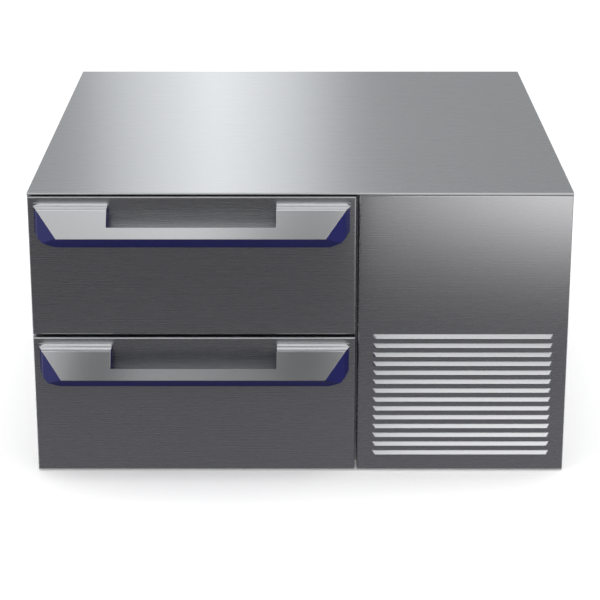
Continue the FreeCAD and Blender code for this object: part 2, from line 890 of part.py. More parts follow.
def finned_coil(x, y, z):
    """Upright fins, brazed on flat tubes that run through them."""
    fins = count_of("fin_count")
    tubes = count_of("coil_tube_count")
    parts = []
    for index in range(fins):
        start = f"{x[0]} + (({x[1]}) - ({x[0]}) - fin_sheet) * {index} / {fins - 1}"
        parts.append(box((start, f"{start} + fin_sheet"), y, z))
    for index in range(tubes):
        middle = f"{z[0]} + (({z[1]}) - ({z[0]})) * ({index} + 0.5) / {tubes}"
        tube_z = centred(f"({middle})", "coil_tube_height / 2")
        parts.append(box(x, inset(y, "coil_tube_inset"), tube_z))
    return join(parts)


def condenser():
    x = centred("panel_mid", "condenser_width / 2")
    z = ("condenser_low", "condenser_top")
    keep(finned_coil(x, ("condenser_face", "condenser_back"), z), "condenser_coil")
    shroud = box(x, ("condenser_back", "shroud_back"), z)
    hollow_y = ("condenser_back", "shroud_back - sheet")
    hollow = box(inset(x, "sheet"), hollow_y, inset(z, "sheet"))
    ring_start = ("panel_mid", "shroud_back - sheet", "condenser_mid")
    ring = rod("condenser_fan_radius + fan_tip_gap", "sheet", ring_start, "y")
    keep(cut(shroud, [hollow, ring]), "condenser_shroud")
    centre = ("panel_mid", "shroud_back", "condenser_mid")
    keep(fan_wheel("condenser_hub_radius", "condenser_fan_radius", centre), "condenser_fan")
    keep(fan_motor(centre, "shroud_back", "condenser_strap"), "condenser_fan_motor")


def unit_base():
    """The open tray that carries the condensing unit."""
    x = ("tech_left + unit_gap", "right - sheet - unit_gap")
    y = ("face_back + unit_front_gap", "unit_back")
    tray = box(x, y, ("unit_floor", "unit_floor + unit_edge"))
    inside = box(inset(x, "sheet"), inset(y, "sheet"), ("tray_floor", "unit_floor + unit_edge"))
    keep(cut(tray, [inside] + bush_blanks(BUSH_PLACES[2:], "bush_clearance")), "unit_base")
    pan_x = inset(x, "pan_side_gap")
    pan_y = ("unit_back - pan_back_gap - pan_length", "unit_back - pan_back_gap")
    pan = box(pan_x, pan_y, ("tray_floor", "tray_floor + pan_height"))
    hollow_z = ("tray_floor + pan_wall", "tray_floor + pan_height")
    hollow = box(inset(pan_x, "pan_wall"), inset(pan_y, "pan_wall"), hollow_z)
    keep(cut(pan, [hollow]), "condensate_tray")


def compressor():
    """A welded pot on two feet rails, with its grommets and terminal cover."""
    grommets = []
    for side_x in (-1, 1):
        for side_y in (-1, 1):
            x = f"panel_mid + {side_x} * foot_spacing_x / 2"
            y = f"compressor_y + {side_y} * foot_spacing_y / 2"
            grommets.append(rod("grommet_radius", "grommet_height", (x, y, "tray_floor"), "z"))
    keep(group(grommets), "compressor_grommets")
    rail_x = centred("panel_mid", "(foot_spacing_x + foot_width) / 2")
    rail_z = ("compressor_foot - foot_sheet", "compressor_foot")
    rails = []
    for side in (-1, 1):
        middle = f"compressor_y + {side} * foot_spacing_y / 2"
        rails.append(box(rail_x, centred(middle, "foot_width / 2"), rail_z))
    seam = "compressor_height / 2"
    shoulder = "compressor_radius - compressor_seam"
    profile = [
        ("0", "0"),
        (shoulder, "0"),
        (shoulder, seam),
        ("compressor_radius", seam),
        ("compressor_radius", f"{seam} + compressor_seam"),
        (shoulder, f"{seam} + compressor_seam"),
        (shoulder, "compressor_height - compressor_dome"),
        (f"{shoulder} - compressor_dome", "compressor_height"),
        ("0", "compressor_height"),
    ]
    pot = turned("XZ_Plane", profile)
    place(pot, "panel_mid", "compressor_y", "compressor_foot")
    keep(join([pot] + rails), "compressor")
    cover = box(
        ("panel_mid", "panel_mid + terminal_reach"),
        centred("compressor_y", "terminal_width / 2"),
        ("compressor_foot + terminal_rise", "compressor_foot + terminal_rise + terminal_height"),
    )
    pot_start = ("panel_mid", "compressor_y", "compressor_foot")
    pot_space = rod("compressor_radius", "compressor_height", pot_start, "z")
    keep(cut(cover, [pot_space]), "compressor_terminal_cover")


def control_box():
    """Hangs in the corner of the partition and the worktop."""
    x = ("tech_left", "tech_left + control_width")
    y = ("face_back + control_gap", "face_back + control_gap + control_depth")
    keep(box(x, y, ("under_top - control_height", "under_top")), "control_box")


def pipe(points, radius):
    """A pipe of many flat sides along straight runs joined by tangent arcs."""
    corners = [Vector(*(value_of(text) for text in point)) for point in points]
    bend = value_of("pipe_bend")
    edges = []
    start = corners[0]
    for before, corner, after in zip(corners, corners[1:], corners[2:]):
        into = (corner - before).normalize()
        out = (after - corner).normalize()
        half_turn = into.getAngle(out) / 2
        setback = bend * math.tan(half_turn)
        first = corner - into * setback
        last = corner + out * setback
        inward = (out - into).normalize()
        middle = corner + inward * (bend / math.cos(half_turn) - bend)
        edges.append(Part.LineSegment(start, first).toShape())
        edges.append(Part.Arc(first, middle, last).toShape())
        start = last
    edges.append(Part.LineSegment(start, corners[-1]).toShape())
    run = Part.Wire(edges)
    direction = (corners[1] - corners[0]).normalize()
    rim = Part.Circle(corners[0], direction, value_of(radius)).toShape()
    sides = count_of("pipe_sides")
    ring = Part.makePolygon(rim.discretize(sides + 1))
    result = doc.addObject("Part::Feature", "Pipe")
    result.Shape = run.makePipeShell([ring], True, True)
    return result


def refrigerant_lines():
    """Pipes from compressor to condenser, drier and evaporator, and the drier."""
    suction_y = "port_y + port_size / 2 - port_wall - 2 * suction_radius"
    liquid_y = "port_y - port_size / 2 + port_wall + 2 * liquid_radius"
    suction_x = "tech_left + suction_line"
    liquid_x = "panel_mid - condenser_width / 2 + liquid_inset"
    liquid_z = "condenser_top + liquid_rise"
    coil_right = "bay_right - evaporator_side_gap"
    core_y = "condenser_face + condenser_depth / 2"
    stub_left = "panel_mid - stub_spacing / 2"
    stub_right = "panel_mid + stub_spacing / 2"
    suction = [
        (coil_right, suction_y, "port_z"),
        (suction_x, suction_y, "port_z"),
        (suction_x, "compressor_y", "port_z"),
        (stub_left, "compressor_y", "port_z"),
        (stub_left, "compressor_y", "compressor_lid"),
    ]
    discharge = [
        (stub_right, "compressor_y", "compressor_lid"),
        (stub_right, "compressor_y", "compressor_lid + discharge_rise"),
        (stub_right, core_y, "compressor_lid + discharge_rise"),
        (stub_right, core_y, "condenser_top"),
    ]
    drier_start = "condenser_back + drier_place"
    liquid = [
        (liquid_x, core_y, "condenser_top"),
        (liquid_x, core_y, liquid_z),
        (liquid_x, drier_start, liquid_z),
    ]
    capillary = [
        (liquid_x, f"{drier_start} + drier_length", liquid_z),
        (liquid_x, liquid_y, liquid_z),
        (liquid_x, liquid_y, "port_z"),
        (coil_right, liquid_y, "port_z"),
    ]
    pipes = [pipe(suction, "suction_radius")]
    pipes += [pipe(points, "liquid_radius") for points in (discharge, liquid, capillary)]
    keep(group(pipes), "refrigerant_pipes")
    drier = rod("drier_radius", "drier_length", (liquid_x, drier_start, liquid_z), "y")
    keep(drier, "filter_drier")


def evaporator():
    """Cover, fan, coil and drip tray at the back of the cold compartment."""
    x = ("bay_left", "bay_right")
    inner_x = inset(x, "sheet")
    z = inset(("bay_floor", "bay_top"), "evaporator_cover_gap")
    cover = box(x, ("evaporator_face", "bay_back"), z)
    space = box(inner_x, ("evaporator_face + sheet", "bay_back"), z)
    centre = ("bay_mid", "evaporator_face", "evaporator_mid")
    ring = rod("evaporator_fan_radius + fan_tip_gap", "sheet", centre, "y")
    side_port = port((inner_x[1], x[1]), "port_size + 2 * port_lip")
    keep(cut(cover, [space, ring, side_port]), "evaporator_cover")
    keep(fan_wheel("evaporator_hub_radius", "evaporator_fan_radius", centre), "evaporator_fan")
    motor = fan_motor(centre, "evaporator_face + sheet", "evaporator_strap")
    keep(motor, "evaporator_fan_motor")
    coil_x = (inner_x[0], "bay_right - evaporator_side_gap")
    coil_y = ("evaporator_back - evaporator_depth", "evaporator_back")
    coil_z = ("evaporator_foot", "bay_top - evaporator_top_gap")
    keep(finned_coil(coil_x, coil_y, coil_z), "evaporator_coil")
    tray_y = ("bay_back - tray_depth", "bay_back")
    tray = box(inner_x, tray_y, ("tray_foot", "tray_foot + tray_height"))
    hollow_z = ("tray_foot + sheet", "tray_foot + tray_height")
    hollow = box(inset(inner_x, "sheet"), inset(tray_y, "sheet"), hollow_z)
    keep(cut(tray, [hollow]), "drip_tray")


worktop()
cabinet_skins()
base_and_bushes()
back_panel()
cord_gland()
front_frame()
mullion()
liner()
insulation()
compressor_panel()
fixed_runners = []
for drawer_level in ("upper", "lower"):
    rim_place = f"{drawer_level}_rim"
    drawer(drawer_level, f"{drawer_level}_foot", rim_place)
    fixed_runners += runner_pair(runner_centre(rim_place), 0)
    keep(group(runner_pair(runner_centre(rim_place), 1)), f"{drawer_level}_runner_slides")
keep(group(fixed_runners), "cabinet_runners")
unit_base()
condenser()
compressor()
control_box()
evaporator()
refrigerant_lines()

doc.recompute()
for item in doc.Objects:
    if "Invalid" in item.State or "Error" in item.State:
        raise RuntimeError(f"{item.Name} ({item.Label}) failed: {item.State}")
for item in nodes:
    if item.Shape.isNull() or not item.Shape.isValid():
        raise RuntimeError(f"{item.Label} has no valid shape")

os.makedirs("parts", exist_ok=True)
for item in nodes:
    item.Shape.exportStep(f"parts/{item.Label}.step")
    solids = item.Shape.Solids
    volume = sum(solid.Volume for solid in solids) / 1000
    print(f"{item.Label}: {len(solids)} solids, {volume:.1f} cm3")
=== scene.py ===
import json
import math

import bmesh
import bpy
from mathutils import Matrix, Vector


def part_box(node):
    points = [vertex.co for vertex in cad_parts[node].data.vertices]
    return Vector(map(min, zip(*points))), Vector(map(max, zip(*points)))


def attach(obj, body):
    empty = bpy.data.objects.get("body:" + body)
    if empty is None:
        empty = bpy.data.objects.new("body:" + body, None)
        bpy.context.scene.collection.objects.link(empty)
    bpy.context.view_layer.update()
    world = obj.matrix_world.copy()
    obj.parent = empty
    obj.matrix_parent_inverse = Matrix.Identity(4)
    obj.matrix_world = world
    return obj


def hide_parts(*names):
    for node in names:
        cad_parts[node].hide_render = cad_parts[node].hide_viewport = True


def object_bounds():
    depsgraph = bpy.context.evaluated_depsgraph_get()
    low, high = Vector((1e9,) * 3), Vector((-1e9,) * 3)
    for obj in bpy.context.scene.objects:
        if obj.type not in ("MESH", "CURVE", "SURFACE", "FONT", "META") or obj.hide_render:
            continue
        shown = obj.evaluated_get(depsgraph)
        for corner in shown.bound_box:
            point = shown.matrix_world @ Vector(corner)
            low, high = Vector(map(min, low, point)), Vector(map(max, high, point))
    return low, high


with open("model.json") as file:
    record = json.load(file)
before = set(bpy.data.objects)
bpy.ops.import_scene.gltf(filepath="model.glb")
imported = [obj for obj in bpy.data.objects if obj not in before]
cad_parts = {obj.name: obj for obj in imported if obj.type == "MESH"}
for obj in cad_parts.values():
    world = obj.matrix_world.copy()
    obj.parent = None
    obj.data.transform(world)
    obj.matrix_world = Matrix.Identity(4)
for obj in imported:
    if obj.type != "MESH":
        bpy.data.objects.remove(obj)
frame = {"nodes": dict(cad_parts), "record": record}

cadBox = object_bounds()
print("stage: frame loaded")

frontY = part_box("upper_front_skin")[0].y  # plane of the drawer fronts

# camera

view = {
    "fromFront": 2.8755,
    "height": 1.24975,
    "sideStep": -0.0006,
    "downTilt": 18.72,
    "lens": 122.69,
}


def addCamera():
    data = bpy.data.cameras.new("camera")
    data.lens = view["lens"]
    data.sensor_width = 36
    data.clip_end = 50
    camera = bpy.data.objects.new("camera", data)
    camera.location = (view["sideStep"], frontY - view["fromFront"], view["height"])
    camera.rotation_euler = (math.radians(90 - view["downTilt"]), 0, 0)
    bpy.context.collection.objects.link(camera)
    bpy.context.scene.camera = camera


# studio: a pale floor, a white sky and soft cards that show only in reflections

studio = {
    "floorColour": (0.93, 0.93, 0.93, 1),
    "floorHalf": 15,
    "skyStrength": 1.0,
    "lampSpot": (0, -0.4, 2.6),
    "lampSize": (1.8, 1.2),
    "lampPower": 22,
    "floorLift": 0.14,
}

# each card: lower left corner, width and height vectors, colour and strength;
# its glow from left to right and from bottom to top is (share of the way, glow),
# and a clear card only adds its light to what is behind it
evenGlow = [(0, 1), (1, 1)]
cards = {
    "backCard": {  # mirrored in the worktop
        "corner": (-4, 2.6, 0),
        "across": (8, 0, 0),
        "up": (0, 0, 5),
        "colour": (0.975, 1.0, 1.02),
        "strength": 1.52,
        "acrossGlow": [
            (0, 0.31), (0.408, 0.31), (0.420, 0.37), (0.428, 0.56), (0.442, 0.71), (0.457, 0.84),
            (0.4685, 1.0), (0.480, 0.86), (0.497, 0.69), (0.510, 0.49), (0.5215, 0.33), (0.535, 0.30),
            (0.6, 0.28), (1, 0.31),
        ],
    },
    "floorCard": {  # mirrored in the fronts
        "corner": (-4, frontY, 0.001),
        "across": (8, 0, 0),
        "up": (0, -4, 0),
        "colour": (0.985, 0.97, 1.05),
        "strength": 0.255,
        "acrossGlow": [(0, 0.62), (0.49, 0.62), (0.51, 0.66), (0.55, 0.76), (0.6, 0.84), (1, 0.84)],
        "upGlow": [(0, 1), (0.09, 1), (0.17, 0.55), (1, 0.45)],
    },
    "frontCard": {  # stands at the floor card's far end
        "corner": (-4, frontY - 4, 0),
        "across": (8, 0, 0),
        "up": (0, 0, 1.9),
        "colour": (0.985, 0.97, 1.05),
        "strength": 0.09,
    },
    "panelCard": {  # mirrored in the louvred panel
        "corner": (0.10, frontY - 0.25, 0.10),
        "across": (0.5, 0, 0),
        "up": (0, 0, 0.40),
        "colour": (1.0, 0.99, 0.98),
        "strength": 1.28,
        "acrossGlow": [(0, 0.30), (0.15, 0.45), (0.6, 0.9), (0.8, 1.0), (1, 0)],
        "upGlow": [(0, 0), (0.15, 0.01), (0.30, 0.09), (0.45, 0.34), (0.62, 0.85), (0.8, 1.25), (1, 0)],
        "clear": True,
    },
    "ledgeCard": {  # mirrored in the ledges, by way of the fronts
        "corner": (-1.6, frontY - 2.6, 0.80),
        "across": (2.8, 0, 0),
        "up": (0, 0, 0.60),
        "colour": (1, 1, 1),
        "strength": 1.5,
        "acrossGlow": [(0, 0), (0.15, 1), (0.75, 1), (1, 0)],
        "upGlow": [(0, 0), (0.2, 1), (0.83, 1), (1, 0)],
        "clear": True,
    },
    "upperGripCard": {  # mirrored in the upper handle
        "corner": (-0.85, frontY - 0.70, 1.31),
        "across": (0.98, 0, 0),
        "up": (0, 0, 0.40),
        "colour": (0.99, 1.0, 1.01),
        "strength": 1.27,
        "acrossGlow": [
            (0, 0.53), (0.356, 0.55), (0.415, 0.60), (0.505, 0.645), (0.595, 0.69), (0.654, 0.68),
            (0.714, 0.58), (0.773, 0.45), (0.834, 0.33), (0.893, 0.27), (1, 0.26),
        ],
    },
    "lowerGripCard": {  # mirrored in the lower handle
        "corner": (-0.85, frontY - 0.70, 0.90),
        "across": (0.98, 0, 0),
        "up": (0, 0, 0.409),
        "colour": (0.99, 1.0, 1.01),
        "strength": 1.27,
        "acrossGlow": [
            (0, 0.5), (0.33, 0.48), (0.366, 0.34), (0.392, 0.13), (0.421, 0.09), (0.485, 0.09),
            (0.508, 0.25), (0.54, 0.28), (0.657, 0.25), (0.745, 0.20), (0.81, 0.165), (0.834, 0.09),
            (0.893, 0.08), (0.922, 0.12), (1, 0.12),
        ],
    },
    "hoodCard": {  # mirrored in the louvres
        "corner": (0.14, frontY - 0.70, 0.80),
        "across": (0.62, 0, 0),
        "up": (0, 0, 0.85),
        "colour": (1, 1, 1),
        "strength": 1.0,
        "acrossGlow": [(0, 1.25), (0.35, 1.0), (1, 0.7)],
    },
}


def mathNode(nodes, links, operation, *terms):
    # each term is a number or another node's output
    node = nodes.new("ShaderNodeMath")
    node.operation = operation
    for socket, term in zip(node.inputs, terms):
        if isinstance(term, (int, float)):
            socket.default_value = term
        else:
            links.new(term, socket)
    return node


def glowRamp(nodes, links, source, size, stops):
    share = mathNode(nodes, links, "DIVIDE", source, size)
    ramp = nodes.new("ShaderNodeValToRGB")
    while len(ramp.color_ramp.elements) < len(stops):
        ramp.color_ramp.elements.new(0.5)
    for element, (place, glow) in zip(ramp.color_ramp.elements, stops):
        element.position = place
        element.color = (glow, glow, glow, 1)
    links.new(share.outputs[0], ramp.inputs[0])
    return ramp.outputs[0]


def addCard(name, card):
    corner, across, up = (Vector(card[word]) for word in ("corner", "across", "up"))
    width, height = across.length, up.length
    mesh = bpy.data.meshes.new(name)
    mesh.from_pydata([(0, 0, 0), (width, 0, 0), (width, height, 0), (0, height, 0)], [], [(0, 1, 2, 3)])
    plane = bpy.data.objects.new(name, mesh)
    sides = (across.normalized(), up.normalized(), across.cross(up).normalized())
    plane.matrix_world = Matrix.Translation(corner) @ Matrix(sides).transposed().to_4x4()
    bpy.context.collection.objects.link(plane)
    mat = bpy.data.materials.new(name + "Cloth")
    mat.use_nodes = True
    nodes, links = mat.node_tree.nodes, mat.node_tree.links
    nodes.remove(nodes["Principled BSDF"])
    place = nodes.new("ShaderNodeTexCoord")
    split = nodes.new("ShaderNodeSeparateXYZ")
    links.new(place.outputs["Object"], split.inputs[0])
    beside = glowRamp(nodes, links, split.outputs[0], width, card.get("acrossGlow", evenGlow))
    above = glowRamp(nodes, links, split.outputs[1], height, card.get("upGlow", evenGlow))
    glows = mathNode(nodes, links, "MULTIPLY", beside, above)
    power = mathNode(nodes, links, "MULTIPLY", glows.outputs[0], card["strength"])
    glow = nodes.new("ShaderNodeEmission")
    glow.inputs["Color"].default_value = card["colour"] + (1,)
    links.new(power.outputs[0], glow.inputs["Strength"])
    if card.get("clear"):
        glass = nodes.new("ShaderNodeBsdfTransparent")
        both = nodes.new("ShaderNodeAddShader")
        links.new(glow.outputs[0], both.inputs[0])
        links.new(glass.outputs[0], both.inputs[1])
        links.new(both.outputs[0], nodes["Material Output"].inputs[0])
    else:
        links.new(glow.outputs[0], nodes["Material Output"].inputs[0])
    mesh.materials.append(mat)
    plane.visible_camera = False
    plane.visible_diffuse = False
    plane.visible_shadow = False
    plane.visible_transmission = False


def addFloor():
    half, z = studio["floorHalf"], cadBox[0].z
    mesh = bpy.data.meshes.new("floor")
    corners = [(-half, -half, z), (half, -half, z), (half, half, z), (-half, half, z)]
    mesh.from_pydata(corners, [], [(0, 1, 2, 3)])
    floor = bpy.data.objects.new("floor", mesh)
    bpy.context.collection.objects.link(floor)
    mat = bpy.data.materials.new("floorPaper")
    mat.use_nodes = True
    nodes, links = mat.node_tree.nodes, mat.node_tree.links
    shader = nodes["Principled BSDF"]
    shader.inputs["Base Color"].default_value = studio["floorColour"]
    shader.inputs["Roughness"].default_value = 0.9
    shader.inputs["Specular IOR Level"].default_value = 0.1
    # the paper looks a little brighter than it lights the cabinet
    rays = nodes.new("ShaderNodeLightPath")
    seen = rays.outputs["Is Camera Ray"]
    for way in ("Is Glossy Ray", "Is Transmission Ray"):
        total = mathNode(nodes, links, "ADD", seen, rays.outputs[way])
        total.use_clamp = True
        seen = total.outputs[0]
    lift = mathNode(nodes, links, "MULTIPLY", seen, studio["floorLift"])
    shader.inputs["Emission Color"].default_value = (1, 1, 1, 1)
    links.new(lift.outputs[0], shader.inputs["Emission Strength"])
    mesh.materials.append(mat)


def addStudio():
    addFloor()
    world = bpy.data.worlds.new("studio")
    bpy.context.scene.world = world
    world.use_nodes = True
    sky = world.node_tree.nodes["Background"]
    sky.inputs["Color"].default_value = (1, 1, 1, 1)
    sky.inputs["Strength"].default_value = studio["skyStrength"]
    for name, card in cards.items():
        addCard(name, card)
    data = bpy.data.lights.new("softbox", "AREA")
    data.shape = "RECTANGLE"
    data.size, data.size_y = studio["lampSize"]
    data.energy = studio["lampPower"]
    lamp = bpy.data.objects.new("softbox", data)
    lamp.location = studio["lampSpot"]
    lamp.visible_camera = False
    lamp.visible_glossy = False
    bpy.context.collection.objects.link(lamp)
    bpy.context.scene.view_settings.view_transform = "Standard"


addCamera()
addStudio()
print("stage: camera and studio")

# finishes, each from the object's own coordinates in metres


def newFinish(name):
    mat = bpy.data.materials.new(name)
    mat.use_nodes = True
    nodes = mat.node_tree.nodes
    return mat, nodes, mat.node_tree.links, nodes["Principled BSDF"]


def noiseAt(nodes, links, stretch, scale=1.0, detail=4.0):
    place = nodes.new("ShaderNodeTexCoord")
    mapping = nodes.new("ShaderNodeMapping")
    mapping.inputs["Scale"].default_value = stretch
    noise = nodes.new("ShaderNodeTexNoise")
    noise.inputs["Scale"].default_value = scale
    noise.inputs["Detail"].default_value = detail
    links.new(place.outputs["Object"], mapping.inputs["Vector"])
    links.new(mapping.outputs["Vector"], noise.inputs["Vector"])
    return noise.outputs["Fac"]


def cellsAt(nodes, links, scale):
    place = nodes.new("ShaderNodeTexCoord")
    cells = nodes.new("ShaderNodeTexVoronoi")
    cells.inputs["Scale"].default_value = scale
    links.new(place.outputs["Object"], cells.inputs["Vector"])
    return cells


def spread(nodes, links, source, low, high, fromLow=0.3, fromHigh=0.7):
    ranged = nodes.new("ShaderNodeMapRange")
    ranged.inputs["From Min"].default_value = fromLow
    ranged.inputs["From Max"].default_value = fromHigh
    ranged.inputs["To Min"].default_value = low
    ranged.inputs["To Max"].default_value = high
    links.new(source, ranged.inputs["Value"])
    return ranged.outputs["Result"]


def blended(nodes, links, source, first, second):
    mix = nodes.new("ShaderNodeMix")
    mix.data_type = "RGBA"
    mix.inputs[6].default_value = tuple(first) + (1,)
    mix.inputs[7].default_value = tuple(second) + (1,)
    links.new(source, mix.inputs[0])
    return mix.outputs[2]


def shaded(colour, factor):
    return tuple(min(1, channel * factor) for channel in colour)


def addBump(nodes, links, shader, source, strength, distance):
    bump = nodes.new("ShaderNodeBump")
    bump.inputs["Strength"].default_value = strength
    bump.inputs["Distance"].default_value = distance
    links.new(source, bump.inputs["Height"])
    links.new(bump.outputs[0], shader.inputs["Normal"])


steel = {
    "colour": (0.53, 0.535, 0.545),
    "roughness": 0.27,
    "anisotropy": 0.6,
    "grainLength": 6,  # noise cells per metre along the brushing
    "grainFineness": 2400,  # and across it
    "grainShare": 0.6,  # of the tone; the rest is a slow cloud over the sheet
    "cloudSize": 2,
    "cloudRange": (0.05, 0.35),
    "toneSwing": 0.025,
    "roughSwing": 0.05,
    "scratch": 0.12,
    "scratchDepth": 0.00002,
}

polished = {
    "tone": 1.25,
    "roughness": 0.15,
    "anisotropy": 0.2,
}


def brushedSteel(name, along, tone=1.0, roughness=steel["roughness"], anisotropy=steel["anisotropy"]):
    mat, nodes, links, shader = newFinish(name)
    stretch = [steel["grainFineness"]] * 3
    stretch["XYZ".index(along)] = steel["grainLength"]
    grain = noiseAt(nodes, links, stretch, 1.0, 3.0)
    cloud = noiseAt(nodes, links, [steel["cloudSize"]] * 3, 1.0, 2.0)
    clouds = spread(nodes, links, cloud, *steel["cloudRange"])
    tones = mathNode(nodes, links, "MULTIPLY_ADD", grain, steel["grainShare"], clouds)
    colour = shaded(steel["colour"], tone)
    swing = steel["toneSwing"]
    pair = (shaded(colour, 1 - swing), shaded(colour, 1 + swing))
    links.new(blended(nodes, links, tones.outputs[0], *pair), shader.inputs["Base Color"])
    swing = steel["roughSwing"]
    rough = spread(nodes, links, grain, roughness * (1 - swing), roughness * (1 + swing))
    links.new(rough, shader.inputs["Roughness"])
    shader.inputs["Metallic"].default_value = 1
    shader.inputs["Anisotropic"].default_value = anisotropy
    tangent = nodes.new("ShaderNodeTangent")
    tangent.direction_type = "RADIAL"
    tangent.axis = along
    links.new(tangent.outputs[0], shader.inputs["Tangent"])
    addBump(nodes, links, shader, grain, steel["scratch"], steel["scratchDepth"])
    return mat


def speckled(name, colour, roughness, metallic, scale, swing, depth=0.0001, shine=0.5):
    # scale is in speckles per metre, and swing is how far the tone goes either way
    mat, nodes, links, shader = newFinish(name)
    speckle = noiseAt(nodes, links, (1, 1, 1), scale, 3)
    pair = (shaded(colour, 1 - swing), shaded(colour, 1 + swing))
    links.new(blended(nodes, links, speckle, *pair), shader.inputs["Base Color"])
    rough = spread(nodes, links, speckle, roughness * 0.85, roughness * 1.15)
    links.new(rough, shader.inputs["Roughness"])
    shader.inputs["Metallic"].default_value = metallic
    shader.inputs["Specular IOR Level"].default_value = shine
    addBump(nodes, links, shader, speckle, 0.3, depth)
    return mat


spangle = {
    "scale": 150,  # crystals per metre
    "tones": ((0.42, 0.43, 0.45), (0.55, 0.56, 0.58)),
    "roughness": (0.32, 0.52),
    "bump": (0.15, 0.0001),
}


def spangledZinc(name):
    mat, nodes, links, shader = newFinish(name)
    cells = cellsAt(nodes, links, spangle["scale"])
    tone = nodes.new("ShaderNodeSeparateColor")
    links.new(cells.outputs["Color"], tone.inputs[0])
    links.new(blended(nodes, links, tone.outputs[0], *spangle["tones"]), shader.inputs["Base Color"])
    rough = spread(nodes, links, tone.outputs[1], *spangle["roughness"], 0, 1)
    links.new(rough, shader.inputs["Roughness"])
    shader.inputs["Metallic"].default_value = 1
    addBump(nodes, links, shader, tone.outputs[2], *spangle["bump"])
    return mat


stained = {
    "scale": 45,
    "tones": ((0.36, 0.16, 0.09), (0.86, 0.47, 0.31)),
    "brightness": (0.15, 1.0),
    "roughness": (0.45, 0.24),
    "bump": (0.1, 0.0002),
}


def agedCopper(name):
    mat, nodes, links, shader = newFinish(name)
    stain = noiseAt(nodes, links, (1, 1, 1), stained["scale"], 5)
    bright = spread(nodes, links, stain, *stained["brightness"], 0.35, 0.6)
    links.new(blended(nodes, links, bright, *stained["tones"]), shader.inputs["Base Color"])
    links.new(spread(nodes, links, stain, *stained["roughness"]), shader.inputs["Roughness"])
    shader.inputs["Metallic"].default_value = 1
    addBump(nodes, links, shader, stain, *stained["bump"])
    return mat


foamed = {
    "scale": 900,
    # the first tone is painted shade in the cells' hollows, the second is the foam's own colour on the cell
    # walls
    "tones": ((0.62, 0.52, 0.28), (0.80, 0.71, 0.45)),
    "roughness": 0.95,
    "bump": (0.5, 0.0004),
}


def foamCells(name):
    mat, nodes, links, shader = newFinish(name)
    cells = cellsAt(nodes, links, foamed["scale"])
    # the cells' hollows, low in the bump, take the darker tone: painted shade in the pores
    poreShade = spread(nodes, links, cells.outputs["Distance"], 0, 1, 0, 0.6)
    links.new(blended(nodes, links, poreShade, *foamed["tones"]), shader.inputs["Base Color"])
    shader.inputs["Roughness"].default_value = foamed["roughness"]
    addBump(nodes, links, shader, cells.outputs["Distance"], *foamed["bump"])
    return mat


def baseFinishes():
    return {
        "stainless": brushedSteel("steelAlongX", "X"),
        "steelAlongY": brushedSteel("steelAlongY", "Y"),
        "steelAlongZ": brushedSteel("steelAlongZ", "Z"),
        "handle_steel": brushedSteel("handleSteel", "X", **polished),
        "galvanised": spangledZinc("zincSpangle"),
        "zinc": speckled("zincPlate", (0.60, 0.61, 0.60), 0.30, 1.0, 300, 0.05),
        "navy_plastic": speckled("navyMoulding", (0.009, 0.010, 0.105), 0.45, 0, 1800, 0.1, 0.00003, 0.25),
        "grey_plastic": speckled("greyPlastic", (0.50, 0.51, 0.52), 0.5, 0, 1500, 0.05, 0.00004),
        "black_plastic": speckled("blackPlastic", (0.025, 0.025, 0.027), 0.5, 0, 1500, 0.15, 0.00005),
        "fan_plastic": speckled("fanPlastic", (0.035, 0.035, 0.04), 0.42, 0, 900, 0.15, 0.00004),
        "foam": foamCells("foam"),
        "seal_rubber": speckled("sealVinyl", (0.22, 0.225, 0.235), 0.6, 0, 700, 0.08, 0.00005),
        "black_rubber": speckled("rubber", (0.02, 0.02, 0.02), 0.8, 0, 900, 0.2, 0.0001),
        "motor_black": speckled("motorEnamel", (0.02, 0.02, 0.022), 0.28, 0, 260, 0.1, 0.00015),
        "aluminium": speckled("finStock", (0.75, 0.76, 0.78), 0.35, 1.0, 500, 0.06),
        "copper": agedCopper("copper"),
    }


finishes = baseFinishes()
print("stage: finishes")

# mesh helpers


def addObject(name, bm):
    mesh = bpy.data.meshes.new(name)
    bmesh.ops.recalc_face_normals(bm, faces=bm.faces)
    bm.to_mesh(mesh)
    bm.free()
    piece = bpy.data.objects.new(name, mesh)
    bpy.context.collection.objects.link(piece)
    return piece


def thicken(piece, sheet):
    solid = piece.modifiers.new("sheet", "SOLIDIFY")
    solid.thickness = sheet
    solid.offset = -1
    solid.use_even_offset = True


def soften(piece, width, segments=2, angle=30):
    soft = piece.modifiers.new("soft", "BEVEL")
    soft.width = width
    soft.segments = segments
    soft.limit_method = "ANGLE"
    soft.angle_limit = math.radians(angle)
    soft.harden_normals = True


def evenNormals(piece):
    # large flat faces keep their own direction beside small bends
    even = piece.modifiers.new("even", "WEIGHTED_NORMAL")
    even.mode = "FACE_AREA"
    even.weight = 100
    even.keep_sharp = True


def settle(piece, angle=32):
    bpy.context.view_layer.update()
    shape = piece.evaluated_get(bpy.context.evaluated_depsgraph_get())
    mesh = bpy.data.meshes.new_from_object(shape)
    piece.modifiers.clear()
    piece.data = mesh
    mesh.shade_smooth()
    mesh.set_sharp_from_angle(angle=math.radians(angle))
    evenNormals(piece)


def install(piece, body, slotName, nodes, finish=None):
    piece.data.materials.clear()
    piece.data.materials.append(finishes[finish or slotName])
    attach(piece, body)
    if nodes:
        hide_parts(*nodes)


def addBlock(bm, low, high):
    corners = []
    for z in (low[2], high[2]):
        corners += [(low[0], low[1], z), (high[0], low[1], z), (high[0], high[1], z), (low[0], high[1], z)]
    verts = [bm.verts.new(corner) for corner in corners]
    sides = [(3, 2, 1, 0), (4, 5, 6, 7), (0, 1, 5, 4), (1, 2, 6, 5), (2, 3, 7, 6), (3, 0, 4, 7)]
    return [bm.faces.new([verts[i] for i in side]) for side in sides]


